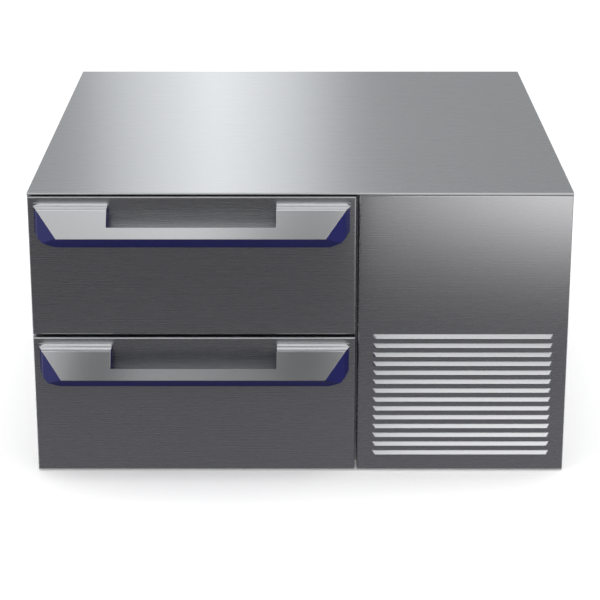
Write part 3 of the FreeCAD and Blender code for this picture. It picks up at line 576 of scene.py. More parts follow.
def axisFrame(axis):
    turn = {"X": ("Y", "Z"), "Y": ("Z", "X"), "Z": ("X", "Y")}[axis]
    unit = {"X": Vector((1, 0, 0)), "Y": Vector((0, 1, 0)), "Z": Vector((0, 0, 1))}
    return unit[axis], unit[turn[0]], unit[turn[1]]


def addTurned(bm, profile, centre, axis, steps=48, closed=False):
    # profile: (radius, place along the axis); a radius of 0 closes the end,
    # and a radius may be a function of the angle
    along, first, second = axisFrame(axis)
    rings = []
    for radius, place in profile:
        middle = Vector(centre) + along * place
        if radius == 0:
            rings.append([bm.verts.new(middle)])
            continue
        ring = []
        for step in range(steps):
            angle = 2 * math.pi * step / steps
            arm = radius(angle) if callable(radius) else radius
            ring.append(bm.verts.new(middle + (first * math.cos(angle) + second * math.sin(angle)) * arm))
        rings.append(ring)
    bridgeRings(bm, rings, closed)


def bridgeRings(bm, rings, closed=False):
    pairs = list(zip(rings, rings[1:]))
    if closed:
        pairs.append((rings[-1], rings[0]))
    for low, high in pairs:
        count = max(len(low), len(high))
        for step in range(count):
            after = (step + 1) % count
            corners = [low[step % len(low)], low[after % len(low)]]
            corners += [high[after % len(high)], high[step % len(high)]]
            bm.faces.new(list(dict.fromkeys(corners)))


def inMetres(points):
    return [(first / 1000, second / 1000) for first, second in points]


def arcPoints(centre, radius, start, end, steps):
    points = []
    for step in range(steps + 1):
        angle = math.radians(start + (end - start) * step / steps)
        points.append((centre[0] + radius * math.cos(angle), centre[1] + radius * math.sin(angle)))
    return points


def roundPath(points, bend, steps=6):
    # straight runs between the points, with a round bend at each inner one
    path = [Vector(points[0])]
    for before, corner, after in zip(points, points[1:], points[2:]):
        corner = Vector(corner)
        into = (corner - Vector(before)).normalized()
        out = (Vector(after) - corner).normalized()
        reach = bend * math.tan(into.angle(out) / 2)
        start, end = corner - into * reach, corner + out * reach
        middle = start + (out - out.project(into)).normalized() * bend
        arm = start - middle
        turn = into.angle(out)
        axis = into.cross(out).normalized()
        for step in range(steps + 1):
            path.append(middle + Matrix.Rotation(turn * step / steps, 3, axis) @ arm)
    path.append(Vector(points[-1]))
    return path


def addTube(bm, path, radius, sides=16, closed=False):
    rings = []
    direction = (path[1] - path[0]).normalized()
    first = direction.orthogonal().normalized()
    for index, point in enumerate(path):
        before = path[index - 1] if index or closed else point
        after = path[(index + 1) % len(path)] if index < len(path) - 1 or closed else point
        heading = (after - before).normalized()
        first = (first - first.project(heading)).normalized()
        second = heading.cross(first)
        ring = []
        for side in range(sides):
            angle = 2 * math.pi * side / sides
            ring.append(bm.verts.new(point + (first * math.cos(angle) + second * math.sin(angle)) * radius))
        rings.append(ring)
    bridgeRings(bm, rings, closed)
    if not closed:
        bm.faces.new(rings[0])
        bm.faces.new(rings[-1])


def roundedRect(x, y, radius, steps=6):
    points = []
    corners = [(x[1], y[1], 0), (x[0], y[1], 90), (x[0], y[0], 180), (x[1], y[0], 270)]
    for cornerX, cornerY, start in corners:
        inX = cornerX - radius if cornerX == x[1] else cornerX + radius
        inY = cornerY - radius if cornerY == y[1] else cornerY + radius
        points += arcPoints((inX, inY), radius, start, start + 90, steps)
    return points


def softenNode(node, width):
    weld = node.modifiers.new("weld", "WELD")
    weld.merge_threshold = 1e-6
    soften(node, width)
    evenNormals(node)


# worktop

worktop = {
    "edge": 0.003,
    "sheet": 0.0015,
    "hem": 0.022,
    "bend": 0.0026,
    "bendSteps": 8,
    "arris": 0.0005,  # broken edges at the sides and back
}


def makeWorktop():
    low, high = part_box("worktop")
    bm = bmesh.new()
    faces = addBlock(bm, low, high)
    bmesh.ops.inset_region(bm, faces=[faces[0]], thickness=worktop["hem"])
    bmesh.ops.translate(bm, verts=faces[0].verts, vec=(0, 0, worktop["edge"] - worktop["sheet"]))
    bm.edges.ensure_lookup_table()
    front = [e for e in bm.edges if all(v.co.y < low.y + 1e-5 and v.co.z > high.z - 1e-5 for v in e.verts)]
    steps = worktop["bendSteps"]
    bmesh.ops.bevel(bm, geom=front, offset=worktop["bend"], segments=steps, profile=0.5, affect="EDGES")
    piece = addObject("worktop_sheet", bm)
    soften(piece, worktop["arris"])
    settle(piece)
    install(piece, "cabinet", "stainless", ["worktop"])


makeWorktop()

# drawer fronts and louvred panel, each folded from one sheet

fold = {
    "bend": 0.003,
    "sheet": 0.001,
    "steps": 6,
    "arris": 0.0002,
}


def foldedPan(bm, low, high):
    # a block open to the back, its four front edges rounded; returns its flat front face
    faces = addBlock(bm, low, high)
    bmesh.ops.delete(bm, geom=[faces[4]], context="FACES_ONLY")
    front = [e for e in bm.edges if all(v.co.y < low.y + 1e-6 for v in e.verts)]
    bmesh.ops.bevel(bm, geom=front, offset=fold["bend"], segments=fold["steps"], profile=0.5, affect="EDGES")
    flat = [f for f in bm.faces if f.calc_center_median().y < low.y + 1e-6]
    return max(flat, key=lambda f: f.calc_area())


def makeFront(level):
    low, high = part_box(level + "_front_skin")
    bm = bmesh.new()
    foldedPan(bm, low, high)
    piece = addObject(level + "_front", bm)
    thicken(piece, fold["sheet"])
    soften(piece, fold["arris"], 1)
    settle(piece)
    install(piece, level + "_drawer", "stainless", [level + "_front_skin"])


louvre = {
    "count": 14,
    "pitch": 0.0144,
    "start": 0.2188,  # first root line above the panel's lower edge
    "height": 0.006,
    "reach": 0.004,
    "margin": 0.0235,
    "taper": 0.004,
    "lip": 0.001,
    "softness": 0.0006,
    "softSteps": 3,
}


def addHood(bm, root, foot, x, y):
    # root and foot: left and right corners of the slot in the sheet
    lipZ = foot[0].co.z
    spots = [
        (x[0] + louvre["taper"], lipZ + louvre["lip"]),
        (x[1] - louvre["taper"], lipZ + louvre["lip"]),
        (x[0] + louvre["taper"], lipZ),
        (x[1] - louvre["taper"], lipZ),
    ]
    upperLeft, upperRight, lowerLeft, lowerRight = [
        bm.verts.new((spotX, y - louvre["reach"], spotZ)) for spotX, spotZ in spots
    ]
    made = [
        bm.faces.new([root[0], root[1], upperRight, upperLeft]),
        bm.faces.new([upperLeft, upperRight, lowerRight, lowerLeft]),
        bm.faces.new([root[0], upperLeft, lowerLeft, foot[0]]),
        bm.faces.new([root[1], foot[1], lowerRight, upperRight]),
    ]
    return made


def makeLouvredPanel():
    low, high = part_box("compressor_panel")
    y = frontY
    bm = bmesh.new()
    face = foldedPan(bm, Vector((low.x, y, low.z)), high)
    middle = (low + high) / 2
    outer = sorted(face.verts, key=lambda v: math.atan2(v.co.z - middle.z, v.co.x - middle.x))
    lowLeft, lowRight, highRight, highLeft = outer
    bmesh.ops.delete(bm, geom=[face], context="FACES_ONLY")
    x = (low.x + louvre["margin"], high.x - louvre["margin"])
    slots = []
    for index in range(louvre["count"]):
        top = low.z + louvre["start"] - index * louvre["pitch"]
        root = [bm.verts.new((side, y, top)) for side in x]
        foot = [bm.verts.new((side, y, top - louvre["height"])) for side in x]
        slots.append((root, foot))
    left = [v for root, foot in slots for v in (root[0], foot[0])]
    right = [v for root, foot in slots for v in (root[1], foot[1])]
    bm.faces.new([highLeft] + left + [lowLeft])
    bm.faces.new([highRight] + right + [lowRight])
    bm.faces.new([highLeft, highRight, right[0], left[0]])
    bm.faces.new([lowLeft, lowRight, right[-1], left[-1]])
    for (_, foot), (root, _) in zip(slots, slots[1:]):
        bm.faces.new([foot[0], foot[1], root[1], root[0]])
    hoods = []
    for root, foot in slots:
        hoods += addHood(bm, root, foot, x, y)
    feet = {v for _, foot in slots for v in foot}
    creases = {e for f in hoods for e in f.edges if len(e.link_faces) == 2 and not feet & set(e.verts)}
    width, steps = louvre["softness"], louvre["softSteps"]
    bmesh.ops.bevel(bm, geom=list(creases), offset=width, segments=steps, profile=0.5, affect="EDGES")
    piece = addObject("louvred_panel", bm)
    thicken(piece, fold["sheet"])
    settle(piece)
    install(piece, "cabinet", "stainless", ["compressor_panel"])


for level in ("upper", "lower"):
    makeFront(level)
makeLouvredPanel()
print("stage: sheet metal")

# handles: a folded plate on a moulded body

handle = {
    "sheet": 0.0015,
    "upstand": 0.0044,
    "ledgeDepth": 0.020,
    "ledgeTaper": 0.0065,
    "gripReach": 0.048,
    "gripDrop": 0.0366,
    "gripTaper": 0.0373,
    "cutoutHalf": 0.1235,
    "cutoutReach": 0.037,
    "cutoutRound": 0.002,
    "foldRadius": 0.003,  # outer
    "rootRadius": 0.0012,  # between the upstand and the ledge
    "arris": 0.0003,
    "mouldingEdge": 0.0009,
}


def plateEnd(reach):
    # how far the plate's end draws in at a reach out of the front
    if reach <= handle["ledgeDepth"]:
        return handle["ledgeTaper"] * reach / handle["ledgeDepth"]
    share = (reach - handle["ledgeDepth"]) / (handle["gripReach"] - handle["ledgeDepth"])
    return handle["ledgeTaper"] + (handle["gripTaper"] - handle["ledgeTaper"]) * share


def plateSection():
    # (reach, rise above the ledge) of the outer face, from the upstand's top to the fold's end
    radius, depth, root = handle["foldRadius"], handle["ledgeDepth"], handle["rootRadius"]
    slope = math.degrees(math.atan2(handle["gripDrop"], handle["gripReach"] - depth))
    setback = radius * math.tan(math.radians(slope / 2))
    points = [(handle["sheet"], handle["upstand"]), (handle["sheet"], root)]
    points += arcPoints((handle["sheet"] + root, root), root, 180, 270, 3)[1:]
    points += arcPoints((depth - setback, -radius), radius, 90, 90 - slope, 6)
    return points


def makeHandlePlate(level):
    low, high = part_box(level + "_handle_plate")
    middle = (low.x + high.x) / 2
    half = (high.x - low.x) / 2
    ledge = high.z - handle["upstand"]
    cutHalf = handle["cutoutHalf"]
    slope = handle["gripDrop"] / (handle["gripReach"] - handle["ledgeDepth"])
    bm = bmesh.new()
    ends = {}
    for side in (-1, 1):
        rows = []
        for reach, rise in plateSection():
            y, z = frontY - reach, ledge + rise
            outerX = middle + side * (half - plateEnd(reach))
            rows.append([bm.verts.new((outerX, y, z)), bm.verts.new((middle + side * cutHalf, y, z))])
        for first, second in zip(rows, rows[1:]):
            bm.faces.new([first[0], first[1], second[1], second[0]])
        ends[side] = rows[-1]
    outline = [ends[-1][0], ends[-1][1]]
    across = arcPoints((0, 0), handle["cutoutRound"], 180, 270, 5)
    cosine = 1 / math.sqrt(1 + slope * slope)
    for side, order in ((-1, 1), (1, -1)):
        for offset, fall in across[::order]:
            cornerX = middle + side * (cutHalf - handle["cutoutRound"] - offset)
            reach = handle["cutoutReach"] - (handle["cutoutRound"] + fall) * cosine
            drop = (reach - handle["ledgeDepth"]) * slope
            outline.append(bm.verts.new((cornerX, frontY - reach, ledge - drop)))
    outline += [ends[1][1], ends[1][0]]
    for side in (1, -1):
        outerX = middle + side * (half - handle["gripTaper"])
        outline.append(bm.verts.new((outerX, frontY - handle["gripReach"], ledge - handle["gripDrop"])))
    bm.faces.new(outline)
    piece = addObject(level + "_grip_plate", bm)
    thicken(piece, handle["sheet"])
    soften(piece, handle["arris"])
    settle(piece)
    install(piece, level + "_drawer", "handle_steel", [level + "_handle_plate"])


# the pocket behind the cut-out has a pale lining, laid over the moulding

pocket = {
    "half": 0.1231,
    "section": [(0.0416, 0.0345), (0.0064, 0.0587), (0.0006, 0.0607)],  # reach, drop below the ledge
    "sheet": 0.0005,
}


def makePocketLining(level):
    low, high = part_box(level + "_handle_plate")
    middle, ledge = (low.x + high.x) / 2, high.z - handle["upstand"]
    bm = bmesh.new()
    rows = []
    for reach, drop in pocket["section"]:
        spots = [(middle + side * pocket["half"], frontY - reach, ledge - drop) for side in (-1, 1)]
        rows.append([bm.verts.new(spot) for spot in spots])
    for first, second in zip(rows, rows[1:]):
        bm.faces.new([first[0], first[1], second[1], second[0]])
    piece = addObject(level + "_pocket_lining", bm)
    thicken(piece, pocket["sheet"])
    settle(piece)
    install(piece, level + "_drawer", "grey_plastic", [])


for level in ("upper", "lower"):
    makeHandlePlate(level)
    makePocketLining(level)
    softenNode(frame["nodes"][level + "_handle_moulding"], handle["mouldingEdge"])
print("stage: handles")

# seals: a bellows strip, mitred round the back of each front

seal = {
    # millimetres in from the outer edge, and off the front's liner
    "profile": [
        (0, 0), (9, 0), (9, 0.8), (7.3, 1.4), (8.4, 2.6), (7.4, 3.7), (8.0, 4.9), (7.2, 5.7),
        (1.8, 5.7), (1.0, 4.9), (1.6, 3.7), (0.6, 2.6), (1.7, 1.4), (0, 0.8),
    ],
}


def makeSeal(level):
    low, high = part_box(level + "_seal")
    bm = bmesh.new()
    rings = []
    for x, z in ((low.x, low.z), (high.x, low.z), (high.x, high.z), (low.x, high.z)):
        inX = 1 if x == low.x else -1
        inZ = 1 if z == low.z else -1
        ring = []
        for reach, rise in inMetres(seal["profile"]):
            ring.append(bm.verts.new((x + inX * reach, low.y + rise, z + inZ * reach)))
        rings.append(ring)
    bridgeRings(bm, rings, closed=True)
    piece = addObject(level + "_bellows_seal", bm)
    settle(piece, 50)
    install(piece, level + "_drawer", "seal_rubber", [level + "_seal"])


# drawer frames: a pressed ring, its flange turned down round the container's opening

drawerFrame = {
    "corner": 0.010,
    "opening": 0.016,
    "side": 0.0266,
    "front": 0.022,
    "back": 0.027,
    "sheet": 0.0015,
    "bend": 0.0035,
    "lip": 0.007,
}


def rolledEdge(share, radius, inset, angles):
    # the bend at the flange's outer edge, share 0, or at its opening, share 1
    points = []
    for angle in angles:
        turn = math.radians(angle)
        extra = inset + radius * (1 - math.cos(turn))
        points.append((share, -extra if share else extra, inset + radius * (1 - math.sin(turn))))
    return points


def frameSection(height):
    # (share of the flange, distance on from there, drop below the rim), once round the sheet
    bend, sheet, lip = drawerFrame["bend"], drawerFrame["sheet"], drawerFrame["lip"]
    section = [(0, 0, height), (0, 0, bend)]
    section += rolledEdge(0, bend, 0, (30, 60, 90))
    section += rolledEdge(1, bend, 0, (90, 60, 30, 0))
    section += [(1, 0, lip), (1, -sheet, lip)]
    section += rolledEdge(1, bend - sheet, sheet, (0, 45, 90))
    section += rolledEdge(0, bend - sheet, sheet, (90, 45, 0))
    section.append((0, sheet, height))
    return section


def makeDrawerFrame(level):
    low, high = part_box(level + "_drawer_frame")
    bm = bmesh.new()
    rings = []
    for share, extra, drop in frameSection(high.z - low.z):
        side = share * drawerFrame["side"] + extra
        x = (low.x + side, high.x - side)
        y = (low.y + share * drawerFrame["front"] + extra, high.y - share * drawerFrame["back"] - extra)
        radius = (drawerFrame["opening"] if share else drawerFrame["corner"]) - extra
        rings.append([bm.verts.new((u, v, high.z - drop)) for u, v in roundedRect(x, y, radius)])
    bridgeRings(bm, rings, closed=True)
    piece = addObject(level + "_pressed_frame", bm)
    settle(piece)
    install(piece, level + "_drawer", "stainless", [level + "_drawer_frame"], "steelAlongY")


for level in ("upper", "lower"):
    makeSeal(level)
    makeDrawerFrame(level)
print("stage: seals and drawer frames")

# threaded foot bushes

bush = {
    "x": 0.374,
    "y": (-0.309, 0.351),
    "radius": 0.009,
    "bore": 0.0051,
    "groove": 0.0005,
    "pitch": 0.0015,
    "chamfer": 0.0007,
}


def hexagon(radius, turn=0):
    # distance to a hexagon's edge, by angle
    apothem = radius * math.cos(math.radians(30))

    def reach(angle):
        return apothem / math.cos(math.radians((math.degrees(angle) - turn) % 60 - 30))

    return reach


def makeBushes():
    low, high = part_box("foot_bushes")
    radius, cham = bush["radius"], bush["chamfer"]
    profile = [
        (hexagon(radius - cham), low.z),
        (hexagon(radius), low.z + cham),
        (hexagon(radius), high.z - cham),
        (hexagon(radius - cham), high.z),
        (bush["bore"] + cham, high.z),
    ]
    z = high.z - cham
    while z > low.z + bush["pitch"]:
        profile += [(bush["bore"], z), (bush["bore"] + bush["groove"], z - bush["pitch"] / 2)]
        z -= bush["pitch"]
    profile += [(bush["bore"], low.z + cham), (bush["bore"] + cham, low.z)]
    bm = bmesh.new()
    for x in (-bush["x"], bush["x"]):
        for y in bush["y"]:
            addTurned(bm, profile, (x, y, 0), "Z", 36, closed=True)
    piece = addObject("threaded_bushes", bm)
    settle(piece)
    install(piece, "cabinet", "zinc", ["foot_bushes"])


makeBushes()

# cord gland: a sleeve through the back panel, a hexagon and a ribbed dome outside

gland = {
    "x": 0.353,
    "z": 0.0615,
    "bore": 0.0045,
    "sleeve": 0.008,
    "inside": 0.012,
    "chamfer": 0.0006,
    "threads": 6,
    "threadStart": -0.0102,
    "threadPitch": 0.0016,
    "threadDepth": 0.0004,
    "nut": 0.012,
    "nutHeight": 0.0035,
    "nutChamfer": (0.0005, 0.0004),
    "ribs": 18,
    # millimetres: radius, depth of the ribs, height above the back panel
    "dome": [(10, 0.5, 3.6), (10, 0.5, 6.0), (9.2, 0.3, 7.0), (7.6, 0, 7.7), (6.0, 0, 8.0)],
    "mouthDepth": 0.0005,
}


def ribbed(radius, depth, count):
    def reach(angle):
        return radius - depth * max(0, math.cos(count * angle))

    return reach


def makeGland():
    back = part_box("back_panel")[1].y
    bore, sleeve, chamfer = gland["bore"], gland["sleeve"], gland["chamfer"]
    inward, along = gland["nutChamfer"]
    nut, narrow = hexagon(gland["nut"], 30), hexagon(gland["nut"] - inward, 30)
    foot = -gland["inside"]
    profile = [(bore, foot), (sleeve - chamfer, foot), (sleeve, foot + chamfer)]
    for turn in range(gland["threads"]):
        place = gland["threadStart"] + turn * gland["threadPitch"]
        profile += [(sleeve, place), (sleeve - gland["threadDepth"], place + gland["threadPitch"] / 2)]
    height = gland["nutHeight"]
    profile += [(sleeve, 0), (narrow, 0), (nut, along), (nut, height - along), (narrow, height)]
    for radius, depth, rise in gland["dome"]:
        profile.append((ribbed(radius / 1000, depth / 1000, gland["ribs"]), rise / 1000))
    top = profile[-1][1]
    profile += [(bore + chamfer, top), (bore, top - gland["mouthDepth"])]
    bm = bmesh.new()
    addTurned(bm, profile, (gland["x"], back, gland["z"]), "Y", 72, closed=True)
    piece = addObject("domed_cord_gland", bm)
    settle(piece)
    install(piece, "cabinet", "black_plastic", ["cord_gland"])


makeGland()

# screws that hold the back panel, with a cross recess

screw = {
    "radius": 0.0042,
    "rise": 0.0018,
    "head": [(1, 0.30), (0.93, 0.62), (0.78, 0.88), (0.60, 1)],  # shares of the radius and the rise
    "sunk": 0.0004,
    "recess": 0.0021,
    "depth": 0.0009,
    "crossAngle": 19,
    "crossCore": 0.42,
    "inset": 0.009,
    "heights": (0.030, 0.160, 0.290, 0.415),
    "topRow": (-0.26, -0.12, 0.12, 0.26),
}


def crossed(radius):
    def reach(angle):
        turn = (math.degrees(angle) + 45) % 90 - 45
        return radius if abs(turn) < screw["crossAngle"] else radius * screw["crossCore"]

    return reach


def makeScrews():
    low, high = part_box("back_panel")
    rise, radius = screw["rise"], screw["radius"]
    recess = crossed(screw["recess"])
    profile = [(0, -screw["sunk"]), (radius, -screw["sunk"])]
    profile += [(radius * out, rise * up) for out, up in screw["head"]]
    profile += [(recess, rise), (recess, rise - screw["depth"]), (0, rise - screw["depth"])]
    spots = [(x, z) for x in (low.x + screw["inset"], high.x - screw["inset"]) for z in screw["heights"]]
    spots += [(x, high.z - screw["inset"]) for x in screw["topRow"]]
    bm = bmesh.new()
    for x, z in spots:
        addTurned(bm, profile, (x, high.y, z), "Y", 36)
    piece = addObject("back_panel_screws", bm)
    settle(piece, 40)
    install(piece, "cabinet", "zinc", [])


makeScrews()
print("stage: bushes, gland and screws")

# compressor: a drawn pot with a welded seam on two rails

pot = {
    "y": 0.0575,
    "railStart": 0.0030,
    "profile": [
        (0, 0), (50, 0), (63, 2.0), (70, 7), (73.4, 15), (74, 22), (74, 80.5), (75, 82.5),
        (78, 84), (78, 88), (75, 89.5), (74, 91.5), (74, 140), (73, 147), (70, 153.5),
        (64.5, 159), (56, 163.6), (44, 166.6), (26, 167.8), (0, 168),
    ],
    "footX": 0.075,
    "footY": 0.055,
    "railHalf": 0.091,
    "railWidth": 0.016,
    "railCorner": 0.012,
    "edge": 0.0005,
}


def addExtruded(bm, outline, span, axis):
    along, first, second = axisFrame(axis)
    rings = []
    for place in span:
        rings.append([bm.verts.new(first * u + second * v + along * place) for u, v in outline])
    bridgeRings(bm, rings)
    bm.faces.new(rings[0])
    bm.faces.new(rings[1])


def makeCompressor():
    low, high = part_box("compressor")
    x, y = (low.x + high.x) / 2, pot["y"]
    foot = low.z + pot["railStart"]
    bm = bmesh.new()
    addTurned(bm, inMetres(pot["profile"]), (x, y, foot), "Z", 72)
    for side in (-1, 1):
        middle = y + side * pot["footY"]
        rail = roundedRect(
            (x - pot["railHalf"], x + pot["railHalf"]),
            (middle - pot["railWidth"], middle + pot["railWidth"]),
            pot["railCorner"],
        )
        addExtruded(bm, rail, (low.z, foot), "Z")
    piece = addObject("compressor_pot", bm)
    soften(piece, pot["edge"], 2, 40)
    settle(piece, 40)
    install(piece, "cabinet", "motor_black", ["compressor"])


grommet = {
    "profile": [
        (0, 0), (9.5, 0), (11, 1.2), (11, 4.5), (8.6, 5.8),
        (8.6, 8.4), (11, 9.8), (11, 12.8), (9.8, 14), (0, 14),
    ],
}


def makeGrommets():
    low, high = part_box("compressor_grommets")
    x = (low.x + high.x) / 2
    bm = bmesh.new()
    for sideX in (-1, 1):
        for sideY in (-1, 1):
            spot = (x + sideX * pot["footX"], pot["y"] + sideY * pot["footY"], low.z)
            addTurned(bm, inMetres(grommet["profile"]), spot, "Z", 32)
    piece = addObject("waisted_grommets", bm)
    settle(piece)
    install(piece, "cabinet", "black_rubber", ["compressor_grommets"])


terminalCover = {
    "hollow": 0.0782,  # radius round the pot's axis
    "edge": 0.0022,
}


def makeTerminalCover():
    low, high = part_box("compressor_terminal_cover")
    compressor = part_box("compressor")
    x, y = (compressor[0].x + compressor[1].x) / 2, pot["y"]
    radius = terminalCover["hollow"]
    half = high.y - y
    sweep = math.degrees(math.asin(half / radius))
    outline = arcPoints((x, y), radius, -sweep, sweep, 10)
    outline += [(high.x, high.y), (high.x, low.y)]
    bm = bmesh.new()
    addExtruded(bm, outline, (low.z, high.z), "Z")
    piece = addObject("moulded_terminal_cover", bm)
    soften(piece, terminalCover["edge"], 3, 40)
    settle(piece)
    install(piece, "cabinet", "black_plastic", ["compressor_terminal_cover"])


makeCompressor()
makeGrommets()
makeTerminalCover()

# refrigerant pipes and filter drier

lines = {
    "bend": 0.012,
    "suction": 0.004,
    "liquid": 0.0025,
    "suctionStep": 0.0045,
    "liquidStep": -0.0075,
    "suctionRun": 0.070,
    "stub": 0.015,
    "rise": 0.070,
    "inset": 0.010,
    "lift": 0.034,
    "sunk": 0.001,
}


def makePipes():
    sleeveLow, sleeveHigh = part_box("line_sleeve")
    port = (sleeveLow + sleeveHigh) / 2
    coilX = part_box("evaporator_coil")[1].x
    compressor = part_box("compressor")
    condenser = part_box("condenser_coil")
    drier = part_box("filter_drier")
    x, y, lid = (compressor[0].x + compressor[1].x) / 2, pot["y"], compressor[1].z
    backY = port.y + lines["suctionStep"]
    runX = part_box("partition")[1].x + lines["suctionRun"]
    coreY, top = (condenser[0].y + condenser[1].y) / 2, condenser[1].z
    left, right = x - lines["stub"], x + lines["stub"]
    liquidX, liquidZ = condenser[0].x + lines["inset"], top + lines["lift"]
    liquidY = port.y + lines["liquidStep"]
    high = lid + lines["rise"]
    entry = lid - lines["sunk"]
    suction = [(coilX, backY, port.z), (runX, backY, port.z), (runX, y, port.z)]
    suction += [(left, y, port.z), (left, y, entry)]
    discharge = [(right, y, entry), (right, y, high), (right, coreY, high), (right, coreY, top)]
    outlet = [(liquidX, coreY, top), (liquidX, coreY, liquidZ), (liquidX, drier[0].y, liquidZ)]
    feed = [(liquidX, drier[1].y, liquidZ), (liquidX, liquidY, liquidZ)]
    feed += [(liquidX, liquidY, port.z), (coilX, liquidY, port.z)]
    bm = bmesh.new()
    addTube(bm, roundPath(suction, lines["bend"], 8), lines["suction"])
    for points in (discharge, outlet, feed):
        addTube(bm, roundPath(points, lines["bend"], 8), lines["liquid"])
    piece = addObject("round_refrigerant_pipes", bm)
    settle(piece)
    install(piece, "cabinet", "copper", ["refrigerant_pipes"])


drierEnd = [(0, 0), (3.2, 0), (3.6, 4), (6.0, 9), (8.8, 15), (9.5, 21)]  # in millimetres


def makeDrier():
    low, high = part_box("filter_drier")
    x, z = (low.x + high.x) / 2, (low.z + high.z) / 2
    length = high.y - low.y
    ends = inMetres(drierEnd)
    profile = ends + [(radius, length - place) for radius, place in reversed(ends)]
    bm = bmesh.new()
    addTurned(bm, profile, (x, low.y, z), "Y", 36)
    piece = addObject("spun_filter_drier", bm)
    settle(piece)
    install(piece, "cabinet", "copper", ["filter_drier"])


makePipes()
makeDrier()
print("stage: compressor and pipes")

# fan motors on bent straps

motor = {
    "case": [
        (0, 0), (11, 0), (12, 1), (28.5, 1), (30, 2.5), (30, 17.5), (28.8, 18.5), (28.8, 21.5),
        (30, 22.5), (30, 39.5), (28.5, 42), (0, 42),
    ],
    "gap": 0.014,  # wheel centre to case
    "shaft": 0.003,
    "shaftChamfer": (0.0004, 0.0006),
    "shaftStart": -0.0035,
    "strapWidth": 0.012,
    "strapSheet": 0.002,
    "strapBend": 0.005,
    "rivet": [(0, -0.2), (3.4, -0.2), (3.4, 0.6), (2.6, 1.4), (0, 1.6)],
    "rivetSpacing": 0.018,
    "sunk": 0.001,
}


def makeMotor(name, wheelY, plateBack):
    low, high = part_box(name)
    x, z = (low.x + high.x) / 2, (low.z + high.z) / 2
    start = wheelY + motor["gap"]
    bm = bmesh.new()
    addTurned(bm, inMetres(motor["case"]), (x, start, z), "Y", 48)
    run = motor["gap"] - motor["shaftStart"] + motor["sunk"]
    radius, (inward, along) = motor["shaft"], motor["shaftChamfer"]
    shaft = [(0, 0), (radius - inward, 0), (radius, along), (radius, run), (0, run)]
    addTurned(bm, shaft, (x, wheelY + motor["shaftStart"], z), "Y", 24)
    outline = []
    for inset in (0, motor["strapSheet"]):
        corners = [(low.x + inset, plateBack, 0), (low.x + inset, high.y - inset, 0)]
        corners += [(high.x - inset, high.y - inset, 0), (high.x - inset, plateBack, 0)]
        path = [(point.x, point.y) for point in roundPath(corners, motor["strapBend"] - inset, 5)]
        outline += path if inset == 0 else path[::-1]
    addExtruded(bm, outline, (z - motor["strapWidth"], z + motor["strapWidth"]), "Z")
    for side in (-1, 1):
        addTurned(bm, inMetres(motor["rivet"]), (x + side * motor["rivetSpacing"], high.y, z), "Y", 24)
    piece = addObject(name + "_case", bm)
    soften(piece, 0.0003, 1, 50)
    settle(piece, 40)
    install(piece, "cabinet", "motor_black", [name])


# fan wheels with curved, swept blades

wheel = {
    "blades": 5,
    "chord": 0.056,
    "fill": 0.90,  # share of the circle that the blades cover near the hub
    "sheet": 0.0016,
    "camber": 0.0030,
    "halfDepth": 0.0082,
    "sweep": 14,
    "rows": 9,
    "columns": 11,
    "tipRound": 0.010,
    "tipGap": 0.0004,
    "rootSunk": 0.001,
    "hubs": {"condenser_fan": 0.026, "evaporator_fan": 0.020},
    # the hub's nose: share of its radius, distance from its front
    "nose": [(0, 0), (0.5, 0.0002), (0.82, 0.0012), (0.95, 0.0028), (1, 0.0050)],
    "rim": 0.0006,
    "wall": 0.0030,
    "hollowEnd": -0.0038,
    "boss": 0.0065,
    "bossInset": 0.001,
    "bore": 0.0034,
    "boreEnd": -0.0040,
}


def addBlade(bm, centre, hub, tip, start):
    faces = []
    for offset in (-wheel["sheet"] / 2, wheel["sheet"] / 2):
        grid = []
        for row in range(wheel["rows"]):
            share = row / (wheel["rows"] - 1)
            radius = hub + (tip - hub) * share
            chord = min(wheel["chord"], 2 * math.pi * radius / wheel["blades"] * wheel["fill"])
            width = math.sqrt(chord ** 2 - (2 * wheel["halfDepth"]) ** 2)
            line = []
            for column in range(wheel["columns"]):
                along = column / (wheel["columns"] - 1) - 0.5
                arm = radius - wheel["tipRound"] * share ** 2 * abs(2 * along) ** 4
                angle = math.radians(start + wheel["sweep"] * share) + along * width / radius
                rise = along * 2 * wheel["halfDepth"] - wheel["camber"] * (1 - 4 * along ** 2)
                spot = centre + Vector((arm * math.cos(angle), rise + offset, arm * math.sin(angle)))
                line.append(bm.verts.new(spot))
            grid.append(line)
        faces.append(grid)
    front, back = faces
    for grid in faces:
        for first, second in zip(grid, grid[1:]):
            for column in range(len(first) - 1):
                bm.faces.new([first[column], first[column + 1], second[column + 1], second[column]])
    rims = []
    for grid in faces:
        rim = grid[0][:] + [line[-1] for line in grid[1:-1]]
        rim += grid[-1][::-1] + [line[0] for line in grid[-2:0:-1]]
        rims.append(rim)
    bridgeRings(bm, rims)


def makeWheel(name, hub):
    low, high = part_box(name)
    centre = Vector(((low.x + high.x) / 2, (low.y + high.y) / 2, (low.z + high.z) / 2))
    tip = (high.x - low.x) / 2 - wheel["tipGap"]
    bm = bmesh.new()
    depth = (high.y - low.y) / 2
    rim, wall, bossEnd = wheel["rim"], hub - wheel["wall"], depth - wheel["bossInset"]
    profile = [(hub * share, place - depth) for share, place in wheel["nose"]]
    profile += [(hub, depth - rim), (hub - rim, depth), (wall + rim, depth), (wall, depth - rim)]
    profile += [(wall, wheel["hollowEnd"]), (wheel["boss"], wheel["hollowEnd"]), (wheel["boss"], bossEnd)]
    profile += [(wheel["bore"], bossEnd), (wheel["bore"], wheel["boreEnd"]), (0, wheel["boreEnd"])]
    addTurned(bm, profile, centre, "Y", 48)
    for index in range(wheel["blades"]):
        addBlade(bm, centre, hub - wheel["rootSunk"], tip, index * 360 / wheel["blades"])
    piece = addObject(name + "_wheel", bm)
    settle(piece, 40)
    install(piece, name, "fan_plastic", [name])


